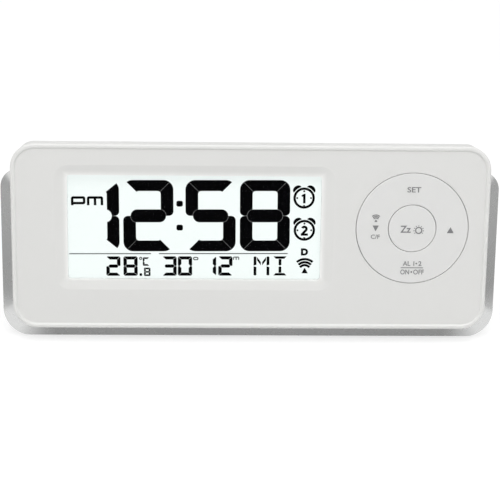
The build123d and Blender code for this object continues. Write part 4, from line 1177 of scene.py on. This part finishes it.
@dataclass(frozen=True)
class KeyLegends:
    """Printed legends of the four-way ring and its centre button."""

    face: Placement
    front: float = -0.285  # height of the print's front
    back: float = -0.33  # height of its back, just under the keys' skin

    WORDS = (
        ("SET", 0.2, 11.86, 4.1, 1.62, 0.012),
        ("C/F", -11.05, -2.56, 2.7, 1.3, 0.01),
        ("AL 1", -0.72, -10.78, 3.45, 1.42, 0.01),
        ("2", 2.72, -10.78, 0.95, 1.42, 0.01),
        ("ON", -1.78, -13.42, 2.65, 1.5, 0.01),
        ("OFF", 2.4, -13.42, 3.2, 1.5, 0.01),
    )  # letters, middle, width, height and weight
    ARROWS = (
        ((-11.95, 0.88), (-11.03, -0.9), (-10.11, 0.88)),
        ((10.5, -1.32), (12.52, -1.32), (11.51, 0.5)),
    )
    DOTS = ((1.63, -10.78, 0.25), (0.22, -13.42, 0.28))  # middle and radius
    RULE = ((-3.05, -12.1), (3.72, -12.1))
    THIN = 0.22  # width of the rule and of the light's rays
    RADIO = Mast(-11.0, 1.98, 0.48, 0.6)
    SNOOZE = ("Zz", -1.98, -0.2, 3.15, 2.15, 0.015)  # as the words
    LIGHT = (1.97, -0.55)  # middle of the light sign
    LIGHT_R = 0.92
    LIGHT_STEPS = 36
    LIGHT_STROKE = 0.33
    RAYS = (-36.0, 216.0, 9)  # first and last angle and number of its rays
    RAY_ENDS = (1.24, 1.58)  # distance of their ends from its middle

    @property
    def keys(self) -> Placement:
        """Frame at the keys' middle."""
        return self.face.moved(*RING_PIVOT[:2])

    def ring(self) -> None:
        """Builds the ring's legends."""
        ink = Shape(self.front, self.back)
        for words in self.WORDS:
            ink.text(*words)
        for arrow in self.ARROWS:
            ink.plate(arrow)
        for dot in self.DOTS:
            ink.plate(circle(*dot))
        ink.ribbon(self.RULE, self.THIN)
        self.RADIO.draw(ink)
        ink.piece("ring_legends", self.keys, LEGEND, Body.RING, "key_plastic")

    def button(self) -> None:
        """Builds the button's snooze and light signs."""
        ink = Shape(self.front, self.back)
        ink.text(*self.SNOOZE)
        ink.ribbon(circle(*self.LIGHT, self.LIGHT_R, self.LIGHT_STEPS), self.LIGHT_STROKE, True)
        ends = [arc(*self.LIGHT, radius, *self.RAYS) for radius in self.RAY_ENDS]
        for ray in np.stack(ends, axis=1):
            ink.ribbon(ray, self.THIN)
        ink.piece("button_legends", self.keys, LEGEND, Body.BUTTON, "key_plastic")

    def dress(self) -> None:
        """Builds all legends."""
        self.ring()
        self.button()


@dataclass(frozen=True)
class DoorArrow:
    """Moulded arrow on the battery door, pointing down to the edge that it opens on."""

    bay: Placement  # the battery bay's frame
    width: float = 5.0  # width of the arrow's head
    height: float = 5.6  # height of the arrow
    head: float = 3.0  # height of its head
    stem: float = 1 / 3  # width of its stem, as a share of the head's
    v: float = 1.5  # middle of the arrow up the door
    front: float = 0.3  # height of the arrow over the door
    back: float = -0.1  # height of its back, inside the door

    def dress(self) -> None:
        """Builds the arrow."""
        half, tip = self.width / 2, self.height / 2
        stem, neck = half * self.stem, self.head - tip
        right = [(half, neck), (stem, neck), (stem, tip)]
        left = [(-u, v) for u, v in reversed(right)]
        shape = Shape(self.front, self.back)
        shape.plate(np.array([(0.0, -tip), *right, *left]) + np.array([0.0, self.v]))
        shape.piece("door_arrow", self.bay, SILVER, Body.DOOR, "silver_paint")


@dataclass(frozen=True)
class Studio:
    """Camera, floor and light."""

    face: Placement
    distance: float = 449.0  # camera's distance from the face
    rise: float = 12.8  # camera's angle over the face's normal, in degrees
    swing: float = -1.9  # camera's angle to the right of the face's normal, in degrees
    roll: float = 0.74  # in degrees
    aim: tuple[float, float, float] = (-0.23, -3.59, 0.0)  # point of the face that it looks at
    lens: float = 108.0  # focal length
    sensor: float = 36.0  # sensor width
    clip: tuple[float, float] = (0.01, 20.0)  # nearest and furthest that it sees, in metres
    floor_half: float = 6.0  # half the floor's width, in metres
    paper_glow: float = 0.7  # light of its own that the floor shows the camera
    paper_seen: float = 0.4  # the floor's colour as the camera sees it
    paper_lit: float = 0.8  # the floor's colour for the light that it throws back
    mirror_bands: tuple[tuple[float, float], ...] = (  # reach and brightness of the painted reflection that the floor shows in a mirror
        (0.0, 0.36), (61.0, 0.36), (72.0, 1.0), (96.0, 1.0), (119.0, 0.37), (260.0, 0.50), (800.0, 0.46))
    sky: float = 0.56  # strength of the even light from all round
    side_lift: float = 1.15  # how much stronger it is from the sides
    side_span: tuple[float, float] = (0.45, 0.85)  # sideways share of the direction over which it grows
    painted_mirror_dim: float = 0.55  # painted dimness: how much of the white a mirror loses towards the low sides
    painted_dim_span: tuple[float, float] = (0.45, 0.8)  # sideways share of the direction over which the painted dimness grows
    painted_dim_top: tuple[float, float] = (0.45, 0.65)  # upward share of the direction over which the painted dimness fades again
    softbox: float = 7.6  # power of the large lamp overhead, in watts
    softbox_size: float = 0.9  # the lamp's diameter, in metres
    softbox_spot: tuple[float, float, float] = (0.0, -0.6, 1.1)  # the lamp's place, in metres

    def camera(self) -> None:
        """Places the camera on the face's frame.

        Its back axis runs from the point aimed at to the camera, and its other axes are turned
        about it by the roll.
        """
        up, side = math.radians(self.rise), math.radians(self.swing)
        ray = np.array([math.sin(side) * math.cos(up), math.sin(up), math.cos(side) * math.cos(up)])
        spot = self.distance * ray
        axes = spin(self.roll) @ facing(spot - np.array(self.aim), (0.0, 1.0, 0.0))
        data = bpy.data.cameras.new("camera")
        data.lens = self.lens
        data.sensor_width = self.sensor
        data.sensor_fit = "HORIZONTAL"
        data.clip_start, data.clip_end = self.clip
        holder = link("camera", data)
        holder.matrix_world = pose(axes @ self.face.axes, self.face.place(spot))
        bpy.context.scene.camera = holder

    def bands(self, graph: Graph) -> Socket:
        """Adds the floor's painted brightness in a mirror, by the distance from the middle along X.

        Args:
            graph: The floor's tree.

        Returns:
            The brightness, as a grey.
        """
        last = self.mirror_bands[-1][0]
        off = graph.math("ABSOLUTE", graph.along(graph.place(), "X"))
        made = graph.node("ShaderNodeValToRGB", {"Fac": graph.math("DIVIDE", off, last * MM)})
        stops = made.color_ramp.elements
        for number, (reach, level) in enumerate(self.mirror_bands):
            stop = stops[number] if number < len(stops) else stops.new(reach / last)
            stop.position = reach / last
            stop.color = (level, level, level, 1.0)
        return made.outputs["Color"]

    def floor(self) -> None:
        """Lays a plain pale floor that keeps the clock's shadow.

        To the camera it is white paper. In a mirror it shows painted bands by the distance from the
        middle: painted shade under the clock, a painted bright band at its ends and painted dimness
        further out.
        """
        graph = Graph("floor")
        ray = graph.node("ShaderNodeLightPath").outputs
        strength = graph.math("MULTIPLY", ray["Is Camera Ray"], self.paper_glow)
        glow = graph.node("ShaderNodeEmission", {"Color": WHITE, "Strength": strength}).outputs[0]
        pale = graph.spread(ray["Is Camera Ray"], self.paper_lit, self.paper_seen, 0.0, 1.0)
        matt = graph.node("ShaderNodeBsdfDiffuse", {"Color": pale}).outputs[0]
        paper = graph.node("ShaderNodeAddShader", {0: glow, 1: matt}).outputs[0]
        # painted reflection: glossy rays see fixed emission bands of painted shade and highlight, not the
        # lit floor
        mirrored = graph.node("ShaderNodeEmission", {"Color": self.bands(graph)}).outputs[0]
        both = {0: ray["Is Glossy Ray"], 1: paper, 2: mirrored}
        mesh = bpy.data.meshes.new("floor")
        corners = self.floor_half * np.array([(-1, -1, 0), (1, -1, 0), (1, 1, 0), (-1, 1, 0)])
        mesh.from_pydata(corners.tolist(), [], [(0, 1, 2, 3)])
        mesh.materials.append(graph.end(graph.node("ShaderNodeMixShader", both)))
        link("floor", mesh)

    def world(self) -> None:
        """Lights the scene evenly, a little more from the sides, and shows as white behind the clock.

        The light's strength rises with the sideways share of its direction. In a mirror the low sides
        show a painted dimness, and the rest is white.
        """
        graph = Graph("studio", world=True)
        direction = graph.node("ShaderNodeTexCoord").outputs["Generated"]
        side = graph.math("ABSOLUTE", graph.along(direction, "X"))
        lit = graph.spread(side, self.sky, self.sky * self.side_lift, *self.side_span)
        # painted reflection: glossy rays alone see the low sides dimmed
        low = graph.spread(graph.along(direction, "Z"), 1.0, 0.0, *self.painted_dim_top)
        dim = graph.math("MULTIPLY", low, graph.spread(side, 0.0, self.painted_mirror_dim, *self.painted_dim_span))
        ray = graph.node("ShaderNodeLightPath").outputs
        mirrored = graph.mix(ray["Is Glossy Ray"], lit, graph.math("SUBTRACT", 1.0, dim))
        seen = graph.math("MAXIMUM", ray["Is Camera Ray"], ray["Is Transmission Ray"])
        values = {"Color": WHITE, "Strength": graph.mix(seen, mirrored, 1.0)}
        bpy.context.scene.world = graph.end(graph.node("ShaderNodeBackground", values))

    def lamp(self) -> None:
        """Hangs one large soft lamp over the front of the clock, aimed at its foot."""
        data = bpy.data.lights.new("softbox", "AREA")
        data.shape = "DISK"
        data.size = self.softbox_size
        data.energy = self.softbox
        spot = np.array(self.softbox_spot)
        holder = link("softbox", data)
        holder.matrix_world = pose(facing(spot, (0.0, 0.0, 1.0)), spot)

    def dress(self) -> None:
        """Sets up the whole studio."""
        self.camera()
        self.floor()
        self.world()
        self.lamp()
        bpy.context.scene.view_settings.view_transform = "Standard"


def main() -> None:
    """Dresses the clock and its studio."""
    logging.basicConfig(level=logging.INFO, format="%(name)s %(message)s")
    joints = {joint["name"]: joint for joint in frame["record"]["behaviour"]["joints"]}
    face = Placement.of_face(joints)
    CadFinishes().dress()
    DisplayWindow(face).dress()
    KeyLegends(face).dress()
    DoorArrow(Placement.of_bay(joints)).dress()
    Studio(face).dress()


if __name__ == "__main__":
    main()
